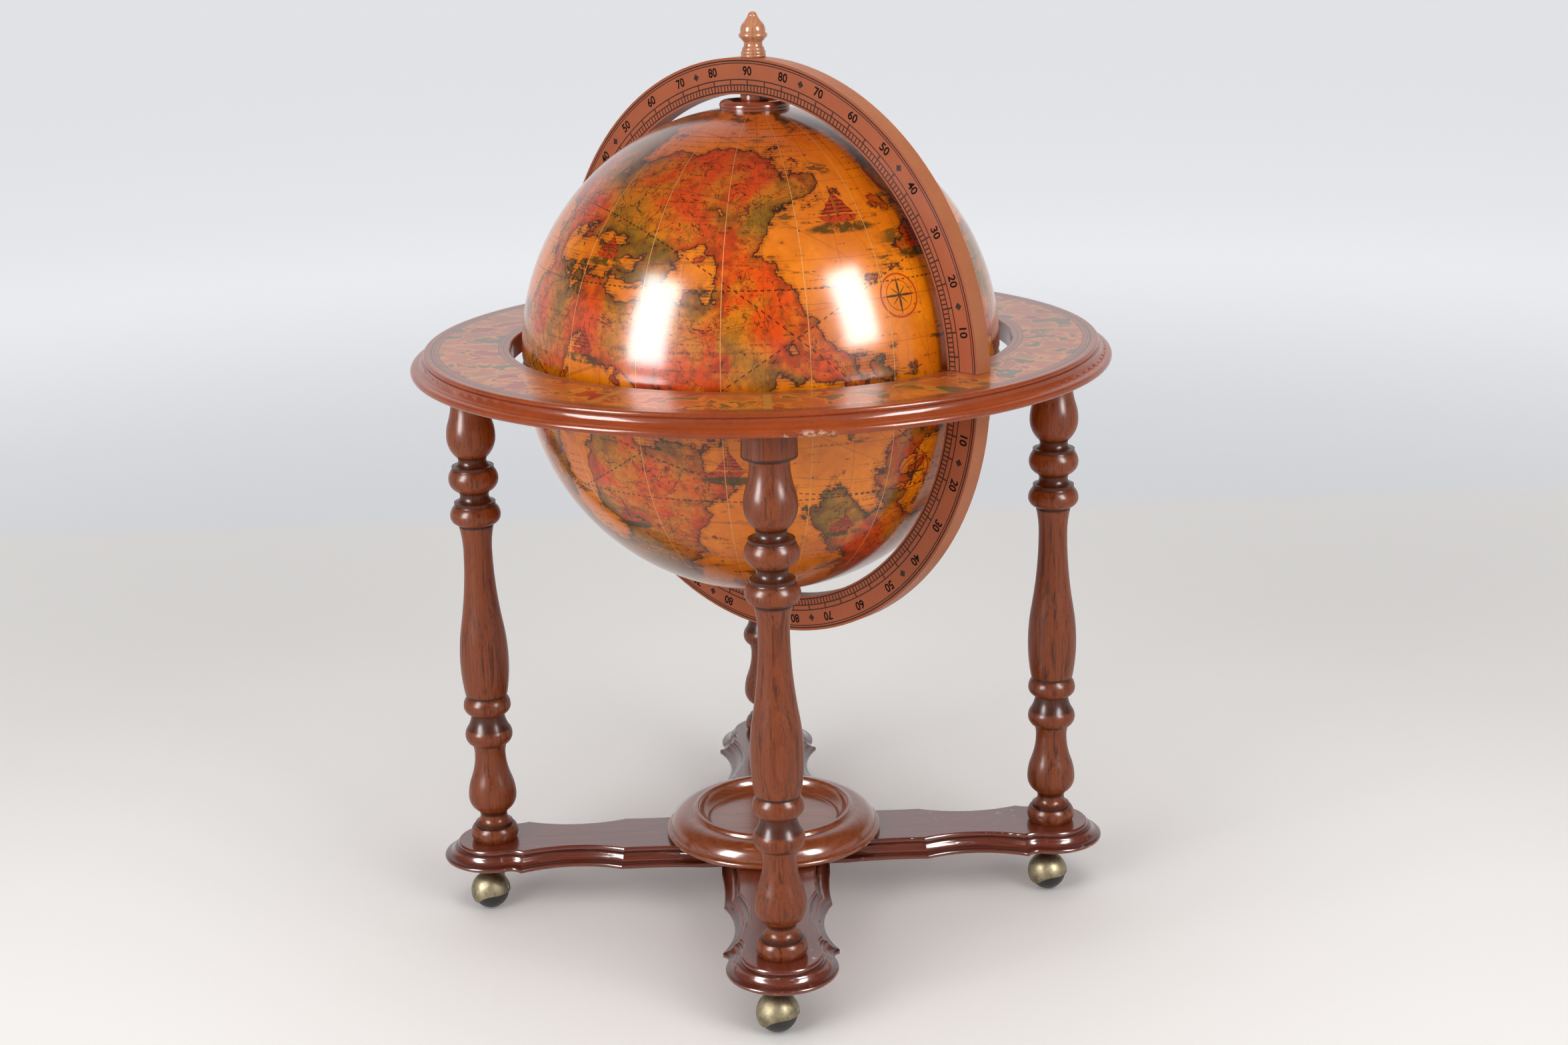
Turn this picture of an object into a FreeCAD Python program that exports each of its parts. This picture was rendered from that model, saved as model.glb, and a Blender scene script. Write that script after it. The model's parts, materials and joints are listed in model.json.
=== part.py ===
import FreeCAD, Part
import math
import os
import Sketcher

doc = FreeCAD.newDocument("floor_globe_bar")
sheet = doc.addObject("Spreadsheet::Sheet", "dims")

# Sizes in millimetres and degrees, heights measured from the floor
SIZES = {
    # Globe: two separate half shells that turn on a north and a south pivot
    "globe_radius": 250,
    "shell_wall": 4,
    "upper_centre": 621.5,
    "lower_centre": 613.5,
    "pole_hole": 6,
    "hoop_width": 14,
    "hoop_height": 16,
    "hub_radius": 28,
    "hub_depth": 15,
    # Horizon ring with its moulded edge
    "ring_gap": 12.5,
    "ring_bottom": 610,
    "ring_top": 631,
    "ring_width": 103.5,
    "ring_moulding": 16.5,
    "ring_lip": 1.2,
    # Half meridians above and below the ring, in one vertical plane
    "meridian_turn": -45,
    "meridian_gap": 12,
    "meridian_width": 37,
    "meridian_thick": 20,
    "foot_gap": 0.3,
    # Pivots, spacers and pole caps
    "pivot_radius": 4,
    "pivot_play": 0.05,
    "spacer_radius": 14.5,
    "cap_radius": 36,
    "cap_bore": 4.6,
    "cap_rim_rise": 6.2,
    "cap_floor_rise": 2,
    "cap_recess": 25,
    "turn_gap": 0.3,
    "nut_radius": 7.5,
    "nut_height": 6.5,
    "washer_radius": 9,
    "washer_thick": 1.6,
    "nut_pocket": 9.5,
    "nut_pocket_depth": 10,
    "pivot_seat": 12,
    # Finial, screwed on the upper end of the north pivot
    "finial_height": 45.5,
    "finial_stud": 18,
    # Bar fitting inside the lower half
    "deck_drop": 50,
    "deck_thick": 12,
    "glass_hole": 34,
    "glass_shift": 3.9,
    "well_radius": 95,
    "well_wall": 3,
    "well_flange": 103,
    "well_flange_thick": 3,
    "well_clear": 36.862,
    "well_floor": 5,
    # Turned legs
    "leg_inset": 56,
    "leg_tenon": 11,
    "leg_tenon_depth": 12,
    "leg_head_tenon": 12,
    "leg_head_depth": 13,
    "leg_torus": 26,
    "leg_neck_low": 14.7,
    "leg_bulb_low": 26.2,
    "leg_waist_low": 16.8,
    "leg_bead_low": 25.8,
    "leg_cove": 18,
    "leg_bead_mid": 25.7,
    "leg_groove": 21.5,
    "leg_belly": 26.4,
    "leg_waist_mid": 15.4,
    "leg_shaft_top": 18.5,
    "leg_bead_high": 27,
    "leg_neck_mid": 15.4,
    "leg_bead_top": 26.6,
    "leg_neck_high": 15,
    "leg_bulb_high": 26,
    "leg_waist_high": 19.3,
    "leg_collar": 27,
    # Cross planks with a moulded edge, half lapped at the centre
    "plank_bottom": 54,
    "plank_thick": 19,
    "plank_half_width": 58.6,
    "plank_overhang": 17,
    "tip_radius": 56.3,
    "nick_radius": 14,
    "nick_bite": 0.4,
    "nick_angle": 16,
    "waist_from_leg": 90,
    "waist_half_width": 46,
    "waist_radius": 127,
    "hollow_from_leg": 171,
    "hollow_half_width": 56.1,
    "hollow_radius": 460,
    # Turned bottle dish on the crossing
    "dish_edge": 118.5,
    "dish_height": 29,
    "dish_rim_outer": 89,
    "dish_rim_inner": 81,
    "dish_recess": 68,
    "dish_recess_depth": 13,
    "bolt_radius": 3,
    "bolt_head_radius": 7,
    "bolt_head_height": 4,
    "bolt_bite": 9,
    # Hinge of the lid, behind the globe
    "hinge_radius": 3,
    "hinge_gap": 0.3,
    "hinge_leaf": 1.8,
    "hinge_width": 20,
    "hinge_reach": 32,
    "hinge_rise": 22,
    "hinge_pin": 1.3,
    "hinge_knuckle": 6.6,
    "rim_planing": 2,
    "hinge_screw_head": 2.8,
    "hinge_screw_shank": 1.4,
    "hinge_screw_length": 13,
    # Screws that hold the lower meridian under the ring
    "long_screw_head": 4.4,
    "long_screw_shank": 2.2,
    "long_screw_length": 45,
    "fit_gap": 0.05,
    # Ball casters
    "swivel_turn": -106,
    "trail": 22,
    "ball_radius": 20,
    "ball_gap": 0.4,
    "hood_wall": 1.2,
    "boss_radius": 8,
    "boss_bottom": 22,
    "socket_radius": 5.5,
    "socket_flange": 8.5,
    "socket_flange_thick": 1.5,
    "socket_depth": 44,
    "stem_radius": 4,
    "stem_play": 0.05,
    "stem_bottom": 33,
    "axle_radius": 2.4,
    "axle_play": 0.05,
    "axle_tilt": 12,
    "hood_low": 10,
    "hood_high": 20,
}
for row, (alias, number) in enumerate(SIZES.items(), start=1):
    sheet.set("A%d" % row, alias)
    sheet.set("B%d" % row, str(number))
    sheet.setAlias("B%d" % row, alias)
doc.recompute()


# A length that carries the spreadsheet formula it comes from
class Size:
    def __init__(self, value, formula):
        self.value = float(value)
        self.formula = formula

    def __add__(self, other):
        other = size(other)
        return Size(self.value + other.value, "(%s + %s)" % (self.formula, other.formula))

    def __sub__(self, other):
        other = size(other)
        return Size(self.value - other.value, "(%s - %s)" % (self.formula, other.formula))

    def __mul__(self, other):
        other = size(other)
        return Size(self.value * other.value, "(%s * %s)" % (self.formula, other.formula))

    def __truediv__(self, other):
        other = size(other)
        return Size(self.value / other.value, "(%s / %s)" % (self.formula, other.formula))

    def __radd__(self, other):
        return size(other) + self

    def __rsub__(self, other):
        return size(other) - self

    def __rmul__(self, other):
        return size(other) * self

    def __neg__(self):
        return size(0) - self

    def root(self):
        return Size(math.sqrt(self.value), "sqrt(%s)" % self.formula)


def size(number):
    return number if isinstance(number, Size) else Size(number, repr(float(number)))


def dim(alias):
    return Size(sheet.get(alias), "dims." + alias)


def cosine(alias):
    return Size(math.cos(math.radians(sheet.get(alias))), "cos(dims.%s)" % alias)


def sine(alias):
    return Size(math.sin(math.radians(sheet.get(alias))), "sin(dims.%s)" % alias)


# Height above the centre of a sphere where its section has a given radius
def rise(sphere, section):
    return (sphere * sphere - section * section).root()


UP = FreeCAD.Vector(0, 0, 1)
ACROSS = FreeCAD.Vector(0, 1, 0)
ALONG = FreeCAD.Vector(1, 0, 0)
EIGHTH = math.sqrt(0.5)
nodes = []


def point(x, y):
    return FreeCAD.Vector(x.value, y.value, 0)


# Middle of an arc that stands upright at its tip and runs to another point
def upright(tip_r, tip_z, end_r, end_z):
    inward = tip_r - end_r
    climb = end_z - tip_z
    radius = (inward * inward + climb * climb) / (2 * inward)
    drop = (radius * radius - climb * climb / 4).root()
    middle = tip_r - radius + (drop if inward.value > 0 else -drop)
    return middle, tip_z + climb / 2


# Outline of a turned or sawn piece: plain pairs are corners, the words name the curve to the next corner
def outline(start, *steps):
    path = [tuple(size(n) for n in start)]
    for step in steps:
        here_r, here_z = path[-1][-2:]
        if not isinstance(step[0], str):
            path.append(tuple(size(n) for n in step))
            continue
        end_r, end_z = size(step[1]), size(step[2])
        if step[0] == "swell":
            path.append(upright(end_r, end_z, here_r, here_z) + (end_r, end_z))
        elif step[0] == "leave":
            path.append(upright(here_r, here_z, end_r, end_z) + (end_r, end_z))
        elif step[0] == "ogee":
            turn_r = here_r + (end_r - here_r) * step[3]
            turn_z = here_z + (end_z - here_z) * step[3]
            path.append(upright(here_r, here_z, turn_r, turn_z) + (turn_r, turn_z))
            path.append(upright(end_r, end_z, turn_r, turn_z) + (end_r, end_z))
    return path


# Sketch on an origin plane of the body, every corner and arc bound to the sheet
def draw(body, plane, path):
    sketch = body.newObject("Sketcher::SketchObject", body.Name + "_outline")
    sketch.AttachmentSupport = ([f for f in body.Origin.OriginFeatures if f.Role == plane][0], "")
    sketch.MapMode = "FlatFace"
    corners = [step[-2:] for step in path]
    count = len(path)
    starts = []
    middles = []
    for index in range(count):
        here = point(*corners[index])
        there = point(*corners[(index + 1) % count])
        step = path[(index + 1) % count]
        if len(step) == 4:
            middle = point(*step[:2])
            leftward = (middle - here).cross(there - middle).z > 0
            curve = Part.Arc(here, middle, there) if leftward else Part.Arc(there, middle, here)
            starts.append((sketch.addGeometry(curve, False), 1 if leftward else 2))
            middles.append((starts[-1][0], step[:2]))
        else:
            starts.append((sketch.addGeometry(Part.LineSegment(here, there), False), 1))
    rules = []
    bound = []

    def fix(geo, end, spot):
        for kind, axis, length in (("DistanceX", -2, spot[0]), ("DistanceY", -1, spot[1])):
            if length.value == 0:
                rules.append(Sketcher.Constraint("PointOnObject", geo, end, axis))
            else:
                bound.append((len(rules), length.formula))
                rules.append(Sketcher.Constraint(kind, -1, 1, geo, end, length.value))

    for index in range(count):
        before, before_start = starts[index - 1]
        geo, start = starts[index]
        rules.append(Sketcher.Constraint("Coincident", before, 3 - before_start, geo, start))
        fix(geo, start, corners[index])
    for geo, spot in middles:
        mark = sketch.addGeometry(Part.Point(point(*spot)), True)
        rules.append(Sketcher.Constraint("PointOnObject", mark, 1, geo))
        fix(mark, 1, spot)
    sketch.addConstraint(rules)
    for index, formula in bound:
        sketch.setExpression("Constraints[%d]" % index, formula)
    return sketch


def place(item, x=0, y=0, z=0, turn=FreeCAD.Rotation()):
    item.Placement = FreeCAD.Placement(FreeCAD.Vector(), turn)
    for axis, length in (("x", size(x)), ("y", size(y)), ("z", size(z))):
        if length.value != 0:
            item.setExpression("Placement.Base." + axis, length.formula)
    return item


# Turned piece: each outline is revolved about the upright axis of the same body
def turned(label, *paths):
    body = doc.addObject("PartDesign::Body", label)
    for path in paths:
        sketch = draw(body, "XZ_Plane", path)
        lathe = body.newObject("PartDesign::Revolution", label + "_turning")
        lathe.Profile = sketch
        lathe.ReferenceAxis = (sketch, ["V_Axis"])
        lathe.Angle = 360
        body.Tip = lathe
    return body


# Sawn piece: an outline in one of the origin planes, padded equally to both sides
def sawn(label, plane, path, thickness):
    body = doc.addObject("PartDesign::Body", label)
    pad = body.newObject("PartDesign::Pad", label + "_pad")
    pad.Profile = draw(body, plane, path)
    pad.SideType = "Symmetric"
    pad.setExpression("Length", thickness.formula)
    body.Tip = pad
    return body


def cylinder(label, radius, height, x=0, y=0, z=0, turn=FreeCAD.Rotation()):
    item = doc.addObject("Part::Cylinder", label)
    item.setExpression("Radius", size(radius).formula)
    item.setExpression("Height", size(height).formula)
    return place(item, x, y, z, turn)


def ball(label, radius, x, z):
    item = doc.addObject("Part::Sphere", label)
    item.setExpression("Radius", size(radius).formula)
    return place(item, x, 0, z)


def block(label, low, high):
    item = doc.addObject("Part::Box", label)
    for side, start, end in zip(("Length", "Width", "Height"), low, high):
        item.setExpression(side, (size(end) - start).formula)
    return place(item, *low)


def joined(label, items):
    item = doc.addObject("Part::MultiFuse", label)
    item.Shapes = items
    return item


def grouped(label, items):
    item = doc.addObject("Part::Compound", label)
    item.Links = items
    return item


def cut(label, base, tools):
    for tool in tools:
        item = doc.addObject("Part::Cut", label)
        item.Base = base
        item.Tool = tool
        base = item
    return base


def node(name, item):
    item.Label = name
    nodes.append((name, item))
    return item


MERIDIAN = FreeCAD.Rotation(UP, sheet.get("meridian_turn"))


# Pieces of the meridian plane are drawn along X and turned together about the upright axis
def diagonal(item):
    return place(item, turn=MERIDIAN)


# Countersunk screw pointing down from its head, and the hole that takes it
def screw_path(head, shank, length, gap):
    wide = head + gap
    thin = shank + gap
    return [
        outline((0, gap), (wide, gap), (wide, 0), (thin, shank - head), (thin, -length - gap), (0, -length - gap)),
        outline((0, 0), (head, 0), (shank, shank - head), (shank, shank - length), (0, -length)),
    ]


def screws(label, kind, spots, turn=FreeCAD.Rotation()):
    head = dim(kind + "_head")
    shank = dim(kind + "_shank")
    hole, solid = screw_path(head, shank, dim(kind + "_length"), dim("fit_gap"))
    made = [place(turned(label + "_screw", solid), *spot, turn) for spot in spots]
    holes = [place(turned(label + "_hole", hole), *spot, turn) for spot in spots]
    return made, holes


# Shared levels
upper_c = dim("upper_centre")
lower_c = dim("lower_centre")
outer = dim("globe_radius")
inner = outer - dim("shell_wall")
lining = inner - dim("fit_gap")
pivot = dim("pivot_radius")
ring_top = dim("ring_top")
ring_bottom = dim("ring_bottom")
plank_low = dim("plank_bottom")
plank_top = plank_low + dim("plank_thick")
turn_gap = dim("turn_gap")
band_in = outer + dim("meridian_gap")
band_out = band_in + dim("meridian_width")
rim_flat = band_out - dim("rim_planing")
ring_bore = outer + dim("ring_gap")
edge = ring_bore + dim("ring_width")
leg_c = edge - dim("leg_inset")
SIDES = {
    "front": (0, -leg_c),
    "right": (leg_c, 0),
    "back": (0, leg_c),
    "left": (-leg_c, 0),
}

# Half shells of the globe with their rim hoops
hole = dim("pole_hole")
for half, centre, way in (("upper", upper_c, 1), ("lower", lower_c, -1)):
    node(half + "_shell", turned(half + "_shell", outline(
        (inner * EIGHTH, centre + way * inner * EIGHTH, inner, centre),
        (outer, centre),
        (outer * EIGHTH, centre + way * outer * EIGHTH, hole, centre + way * rise(outer, hole)),
        (hole, centre + way * rise(inner, hole)),
    )))
    hoop_in = lining - dim("hoop_width")
    tall = dim("hoop_height")
    node(half + "_rim", turned(half + "_rim", outline(
        (hoop_in, centre),
        (lining, centre),
        (rise(lining, tall / 2), centre + way * tall / 2, rise(lining, tall), centre + way * tall),
        (hoop_in, centre + way * tall),
    )))

# Hubs that carry the shells on the pivots
hub = dim("hub_radius")
bearing = pivot + dim("pivot_play")
hub_in_upper = upper_c + lining - dim("hub_depth")
node("upper_hub", turned("upper_hub", outline(
    (bearing, hub_in_upper),
    (hub, hub_in_upper),
    (hub, upper_c + rise(lining, hub)),
    (hub / 2, upper_c + rise(lining, hub / 2), bearing, upper_c + rise(lining, bearing)),
)))
hub_in_lower = lower_c - lining + dim("hub_depth")
seat_top = lower_c - lining + dim("pivot_seat")
node("lower_hub", turned("lower_hub", outline(
    (bearing, seat_top),
    (bearing, lower_c - rise(lining, bearing)),
    (hub / 2, lower_c - rise(lining, hub / 2), hub, lower_c - rise(lining, hub)),
    (hub, hub_in_lower),
    (0, hub_in_lower),
    (0, seat_top),
)))

# Dished pole caps outside the shells
cap = dim("cap_radius")
cap_bore = dim("cap_bore")
seat = outer + dim("fit_gap")
recess = dim("cap_recess")
for name, centre, way in (("pole_cap", upper_c, 1), ("south_cap", lower_c, -1)):
    pole = centre + way * outer
    rim = pole + way * dim("cap_rim_rise")
    floor = pole + way * dim("cap_floor_rise")
    skirt = centre + way * rise(seat, cap)
    node(name, turned(name, outline(
        (cap_bore, centre + way * rise(seat, cap_bore)),
        (cap / 2, centre + way * rise(seat, cap / 2), cap, skirt),
        (cap, skirt + way * 2),
        (cap - 0.8, rim - way * 1.6, cap - 3.4, rim),
        (recess + 4.4, rim),
        (recess + 2.2, rim - way * 0.9, recess + 1, floor + way * 1.6),
        (recess - 0.6, floor),
        (cap_bore, floor),
    )))

# Bar fitting: deck with glass holes and a bottle well hung in its middle
deck_top = lower_c - dim("deck_drop")
deck_low = deck_top - dim("deck_thick")
well = dim("well_radius")
deck = turned("deck_blank", outline(
    (well + dim("fit_gap"), deck_low),
    (rise(lining, lower_c - deck_low), deck_low),
    (rise(lining, lower_c - deck_top), deck_top),
    (well + dim("fit_gap"), deck_top),
))
holes = []
spot = (dim("well_flange") + rise(lining, dim("deck_drop"))) / 2 - dim("glass_shift")
for number in range(8):
    angle = math.radians(45 * number)
    holes.append(cylinder(
        "glass_hole", dim("glass_hole"), dim("deck_thick") + 2,
        spot * math.cos(angle), spot * math.sin(angle), deck_low - 1))
node("bar_deck", cut("bar_deck", deck, holes))
well_low = lower_c - rise(lining, well) + dim("well_clear")
bore = well - dim("well_wall")
flange_top = deck_top + dim("well_flange_thick")
node("bottle_well", turned("bottle_well", outline(
    (0, well_low),
    (well - 4, well_low),
    (well - 1.2, well_low + 1.2, well, well_low + 4),
    (well, deck_top),
    (dim("well_flange"), deck_top),
    (dim("well_flange"), flange_top - 1),
    (dim("well_flange") - 1, flange_top),
    (bore + 1, flange_top),
    (bore, flange_top - 1),
    (bore, well_low + dim("well_floor")),
    (0, well_low + dim("well_floor")),
)))

# Legs, turned in six lengths between floor plank and horizon ring
foot = plank_top
socket_bore = dim("socket_radius") + dim("fit_gap")
socket_top = plank_low + dim("socket_depth") + dim("fit_gap")
tenon = dim("leg_tenon")
tenon_low = plank_top - dim("leg_tenon_depth")
head = dim("leg_head_tenon")
collar = dim("leg_collar")
torus = dim("leg_torus")


# Heights on the leg, drawn for a leg of this length and drawn out with it: the turnings of the foot
# are measured up from its seat, those of the head down from the ring, and the vase fills the rest
DRAWN_LENGTH = 537


def at(height):
    return foot + (ring_bottom - foot) * (height / DRAWN_LENGTH)


def under(drop):
    return at(DRAWN_LENGTH - drop)


leg_lengths = [
    outline(
        (socket_bore, tenon_low), (tenon, tenon_low), (tenon, foot), (torus - 3, foot),
        (torus, at(8.2), torus - 3, at(16.4)), (20.3, at(17)), (20.3, at(20.5)),
        (dim("leg_neck_low"), at(29.5), 18.4, at(36)),
        (0, at(36)), (0, socket_top), (socket_bore, socket_top)),
    outline(
        (0, at(36)), (18.4, at(36)), ("swell", dim("leg_bulb_low"), at(51.6)),
        ("ogee", dim("leg_waist_low"), at(101.6), 0.42), ("leave", 19.6, at(114)), (0, at(114))),
    outline(
        (0, at(114)), (21.4, at(114)), ("swell", dim("leg_bead_low"), at(123.6)), ("leave", 24, at(130.5)),
        (20, at(138), dim("leg_cove"), at(147)), (20.6, at(148.5)), ("swell", dim("leg_bead_mid"), at(157.3)),
        ("leave", dim("leg_groove"), at(168)), (dim("leg_groove"), at(170.5)), (0, at(170.5))),
    outline(
        (0, at(170.5)), (22.8, at(170.5)), ("swell", dim("leg_belly"), at(209)),
        ("ogee", dim("leg_waist_mid"), under(202.5), 0.33), ("leave", dim("leg_shaft_top"), under(176)),
        (dim("leg_shaft_top"), under(173)), (0, under(173))),
    outline(
        (0, under(173)), (20.6, under(173)), ("swell", dim("leg_bead_high"), under(163.5)),
        ("leave", 22.6, under(153)), (22, under(152)), (22, under(148.5)),
        (dim("leg_neck_mid"), under(142), 20, under(135.5)), ("swell", dim("leg_bead_top"), under(123.3)),
        ("leave", 23, under(113)), (22.4, under(112)), (22.4, under(109)),
        (dim("leg_neck_high"), under(102.5), 17.6, under(98)), (0, under(98))),
    outline(
        (0, under(98)), (17.6, under(98)), ("swell", dim("leg_bulb_high"), under(77)),
        ("ogee", dim("leg_waist_high"), under(36.5), 0.42), ("leave", 22, under(31.5)),
        (collar - 2.4, under(31)), (collar - 0.6, under(30.2), collar, under(28)),
        (collar - 0.6, ring_bottom - 10), (collar, ring_bottom),
        (head, ring_bottom), (head, ring_bottom + dim("leg_head_depth")),
        (0, ring_bottom + dim("leg_head_depth"))),
]
for side, (x, y) in SIDES.items():
    node("leg_" + side, place(turned("leg_" + side, *leg_lengths), x, y))

# Edge moulding of the planks: pairs of (set back from the widest line, height above the underside)
over = dim("plank_overhang")
MOULDING = [
    (1.6, 0), (0, 2.4, 1.6, 4.8), (3, 5.4), (7.4, 7.3, 10.2, 10.8), (11.8, 13.2, 14.2, 14.4),
    (15, 14.4), (15.5, 17.6, over, dim("plank_thick")),
]


def moulded(offset, sign):
    path = []
    for step in MOULDING:
        spot = []
        for index, number in enumerate(step):
            spot.append(plank_low + number if index % 2 else offset + sign * size(number))
        path.append(tuple(spot))
    return path


# Wheel that cuts one hollow of the plank's outline, moulding included
def wheel(label, radius, x, y):
    edge = moulded(radius, 1)
    path = outline(
        (0, plank_low - 2), (radius + 1.6, plank_low - 2), *edge,
        (radius + over, plank_top + 2), (0, plank_top + 2))
    return place(turned(label, path), x, y)


def plank(name, turn, notch_low, notch_high):
    half = dim("plank_half_width")
    reach = dim("tip_radius") + dim("nick_radius") - dim("nick_bite")
    nick_x = leg_c - reach * sine("nick_angle")
    nick_y = reach * cosine("nick_angle")
    end_x = leg_c - half * sine("nick_angle") / cosine("nick_angle")
    blank = sawn(name + "_blank", "XY_Plane", outline(
        (end_x, half), (leg_c, 0), (end_x, -half), (-end_x, -half), (-leg_c, 0), (-end_x, half),
    ), dim("plank_thick"))
    place(blank, z=plank_low + dim("plank_thick") / 2)
    tip = outline((0, plank_low), *moulded(dim("tip_radius"), -1), (0, plank_top))
    ends = [place(turned(name + "_tip", tip), way * leg_c) for way in (1, -1)]
    wheels = []
    for way in (1, -1):
        for side in (1, -1):
            wheels.append(wheel(name + "_nick", dim("nick_radius"), way * nick_x, side * nick_y))
            for kind in ("waist", "hollow"):
                radius = dim(kind + "_radius")
                across = dim(kind + "_half_width") + radius
                wheels.append(wheel(
                    name + "_" + kind, radius, way * (leg_c - dim(kind + "_from_leg")), side * across))
    shaped = cut(name + "_shaped", joined(name + "_joined", [blank] + ends), wheels)
    lap = half + dim("fit_gap")
    tools = [
        block(name + "_lap", (-lap, -lap - 1, notch_low), (lap, lap + 1, notch_high)),
        cylinder(name + "_bolt_hole", dim("bolt_radius") + dim("fit_gap"), 40, z=plank_low - 5),
        cylinder(
            name + "_bolt_head", dim("bolt_head_radius") + dim("fit_gap"),
            dim("bolt_head_height") + dim("fit_gap") + 5, z=plank_low - 5),
    ]
    for way in (1, -1):
        tools.append(cylinder(
            name + "_tenon_hole", tenon + dim("fit_gap"), dim("leg_tenon_depth") + 5,
            way * leg_c, 0, tenon_low))
        tools.append(cylinder(name + "_socket_hole", socket_bore, 40, way * leg_c, 0, plank_low - 5))
    return node(name, place(cut(name, shaped, tools), turn=turn))


lap_level = plank_low + dim("plank_thick") / 2
plank("cross_plank_side", FreeCAD.Rotation(), lap_level, plank_top + 5)
plank("cross_plank_front", FreeCAD.Rotation(UP, 90), plank_low - 5, lap_level)

# Bottle dish, bolted from below through the crossing
dish_edge = dim("dish_edge")
dish_top = plank_top + dim("dish_height")
dish_floor = dish_top - dim("dish_recess_depth")
rim_out = dim("dish_rim_outer")
rim_in = dim("dish_rim_inner")
bolt_hole = dim("bolt_radius") + dim("fit_gap")
bolt_end = plank_top + dim("bolt_bite")
node("bottle_dish", turned("bottle_dish", outline(
    (bolt_hole, plank_top),
    (dish_edge - 4, plank_top),
    (dish_edge - 2.2, plank_top + 1.4),
    (dish_edge, plank_top + 4.4, dish_edge - 2.2, plank_top + 7.4),
    (dish_edge - 4.6, plank_top + 8.2),
    (dish_edge - 10.8, plank_top + 19.4, rim_out + 4, dish_top - 4.4),
    (rim_out + 0.6, dish_top - 4),
    (rim_out, dish_top - 3),
    ((rim_out + rim_in) / 2, dish_top, rim_in, dish_top - 2),
    (rim_in - 4.6, dish_floor + 3.4, dim("dish_recess"), dish_floor),
    (0, dish_floor),
    (0, bolt_end + dim("fit_gap")),
    (bolt_hole, bolt_end + dim("fit_gap")),
)))
node("dish_bolt", turned("dish_bolt", outline(
    (0, plank_low), (dim("bolt_head_radius") - 1, plank_low), (dim("bolt_head_radius"), plank_low + 1),
    (dim("bolt_head_radius"), plank_low + dim("bolt_head_height")),
    (dim("bolt_radius"), plank_low + dim("bolt_head_height")),
    (dim("bolt_radius"), bolt_end), (0, bolt_end),
)))

# Screws from the ring down into the ends of the lower meridian
station = (band_in + band_out) / 2
long_screws, long_holes = screws("meridian", "long_screw", [(station, 0, ring_top), (-station, 0, ring_top)])
node("meridian_screws", diagonal(grouped("meridian_screws", long_screws)))

# Hinge axis behind the upper meridian, a gap above the ring and outside the rim flat
knuckle = dim("hinge_radius")
hinge_gap = dim("hinge_gap")
hinge_x = -(rim_flat + knuckle + hinge_gap)
hinge_z = ring_top + knuckle + hinge_gap
leaf = dim("hinge_leaf")
half_leaf = dim("hinge_width") / 2
half_knuckle = dim("hinge_knuckle") / 2
fixed_screws, fixed_holes = screws("fixed_leaf", "hinge_screw", [
    (hinge_x - dim("hinge_reach") * 0.36, 0, ring_top + leaf),
    (hinge_x - dim("hinge_reach") * 0.76, 0, ring_top + leaf),
])
rim_out_x = -(rim_flat + leaf)
lid_screws, lid_holes = screws("lid_leaf", "hinge_screw", [
    (rim_out_x, 0, hinge_z + dim("hinge_rise") * 0.38),
    (rim_out_x, 0, hinge_z + dim("hinge_rise") * 0.78),
], FreeCAD.Rotation(ACROSS, -90))
LYING = FreeCAD.Rotation(ALONG, -90)
clear = knuckle + hinge_gap
fixed_parts = [
    block("fixed_plate", (hinge_x - dim("hinge_reach"), -half_leaf, ring_top),
          (hinge_x - clear, half_leaf, ring_top + leaf)),
]
for way in (1, -1):
    low = half_knuckle + hinge_gap if way > 0 else -half_leaf
    high = half_leaf if way > 0 else -(half_knuckle + hinge_gap)
    fixed_parts.append(block(
        "fixed_tab", (hinge_x - clear - 1, low, ring_top), (hinge_x, high, ring_top + leaf)))
    fixed_parts.append(cylinder("fixed_knuckle", knuckle, high - low, hinge_x, low, hinge_z, LYING))
pin_hole = cylinder(
    "pin_hole", dim("hinge_pin"), dim("hinge_width") + 2, hinge_x, -half_leaf - 1, hinge_z, LYING)
node("hinge_leaf_fixed", diagonal(cut(
    "hinge_leaf_fixed", joined("fixed_leaf", fixed_parts), fixed_holes + [pin_hole])))
node("hinge_screws_fixed", diagonal(grouped("hinge_screws_fixed", fixed_screws)))
pin_rod = cylinder(
    "pin_rod", dim("hinge_pin"), dim("hinge_width") + 1, hinge_x, -half_leaf - 0.5, hinge_z, LYING)
node("hinge_pin", diagonal(grouped("hinge_pin", [pin_rod])))
lid_parts = [
    block("lid_plate", (rim_out_x, -half_leaf, hinge_z + clear),
          (rim_out_x + leaf, half_leaf, hinge_z + dim("hinge_rise"))),
    block("lid_tab", (rim_out_x, -half_knuckle, hinge_z), (rim_out_x + leaf, half_knuckle, hinge_z + clear + 1)),
    cylinder("lid_knuckle", knuckle, 2 * half_knuckle, hinge_x, -half_knuckle, hinge_z, LYING),
]
running_hole = cylinder(
    "running_hole", dim("hinge_pin") + dim("pivot_play"), dim("hinge_width"), hinge_x, -half_leaf, hinge_z, LYING)
node("hinge_leaf_lid", diagonal(cut(
    "hinge_leaf_lid", joined("lid_leaf", lid_parts), lid_holes + [running_hole])))
node("hinge_screws_lid", diagonal(grouped("hinge_screws_lid", lid_screws)))

# Half meridians, bored for the pivots and drilled for their screws
thick = dim("meridian_thick")
stud = pivot + dim("fit_gap")


def half_meridian(label, centre, way, end):
    wide = rise(band_out, end - centre)
    narrow = rise(band_in, end - centre)
    return sawn(label, "XZ_Plane", outline(
        (0, centre + way * band_in, narrow, end),
        (wide, end),
        (0, centre + way * band_out, -wide, end),
        (-narrow, end),
    ), thick)


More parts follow.
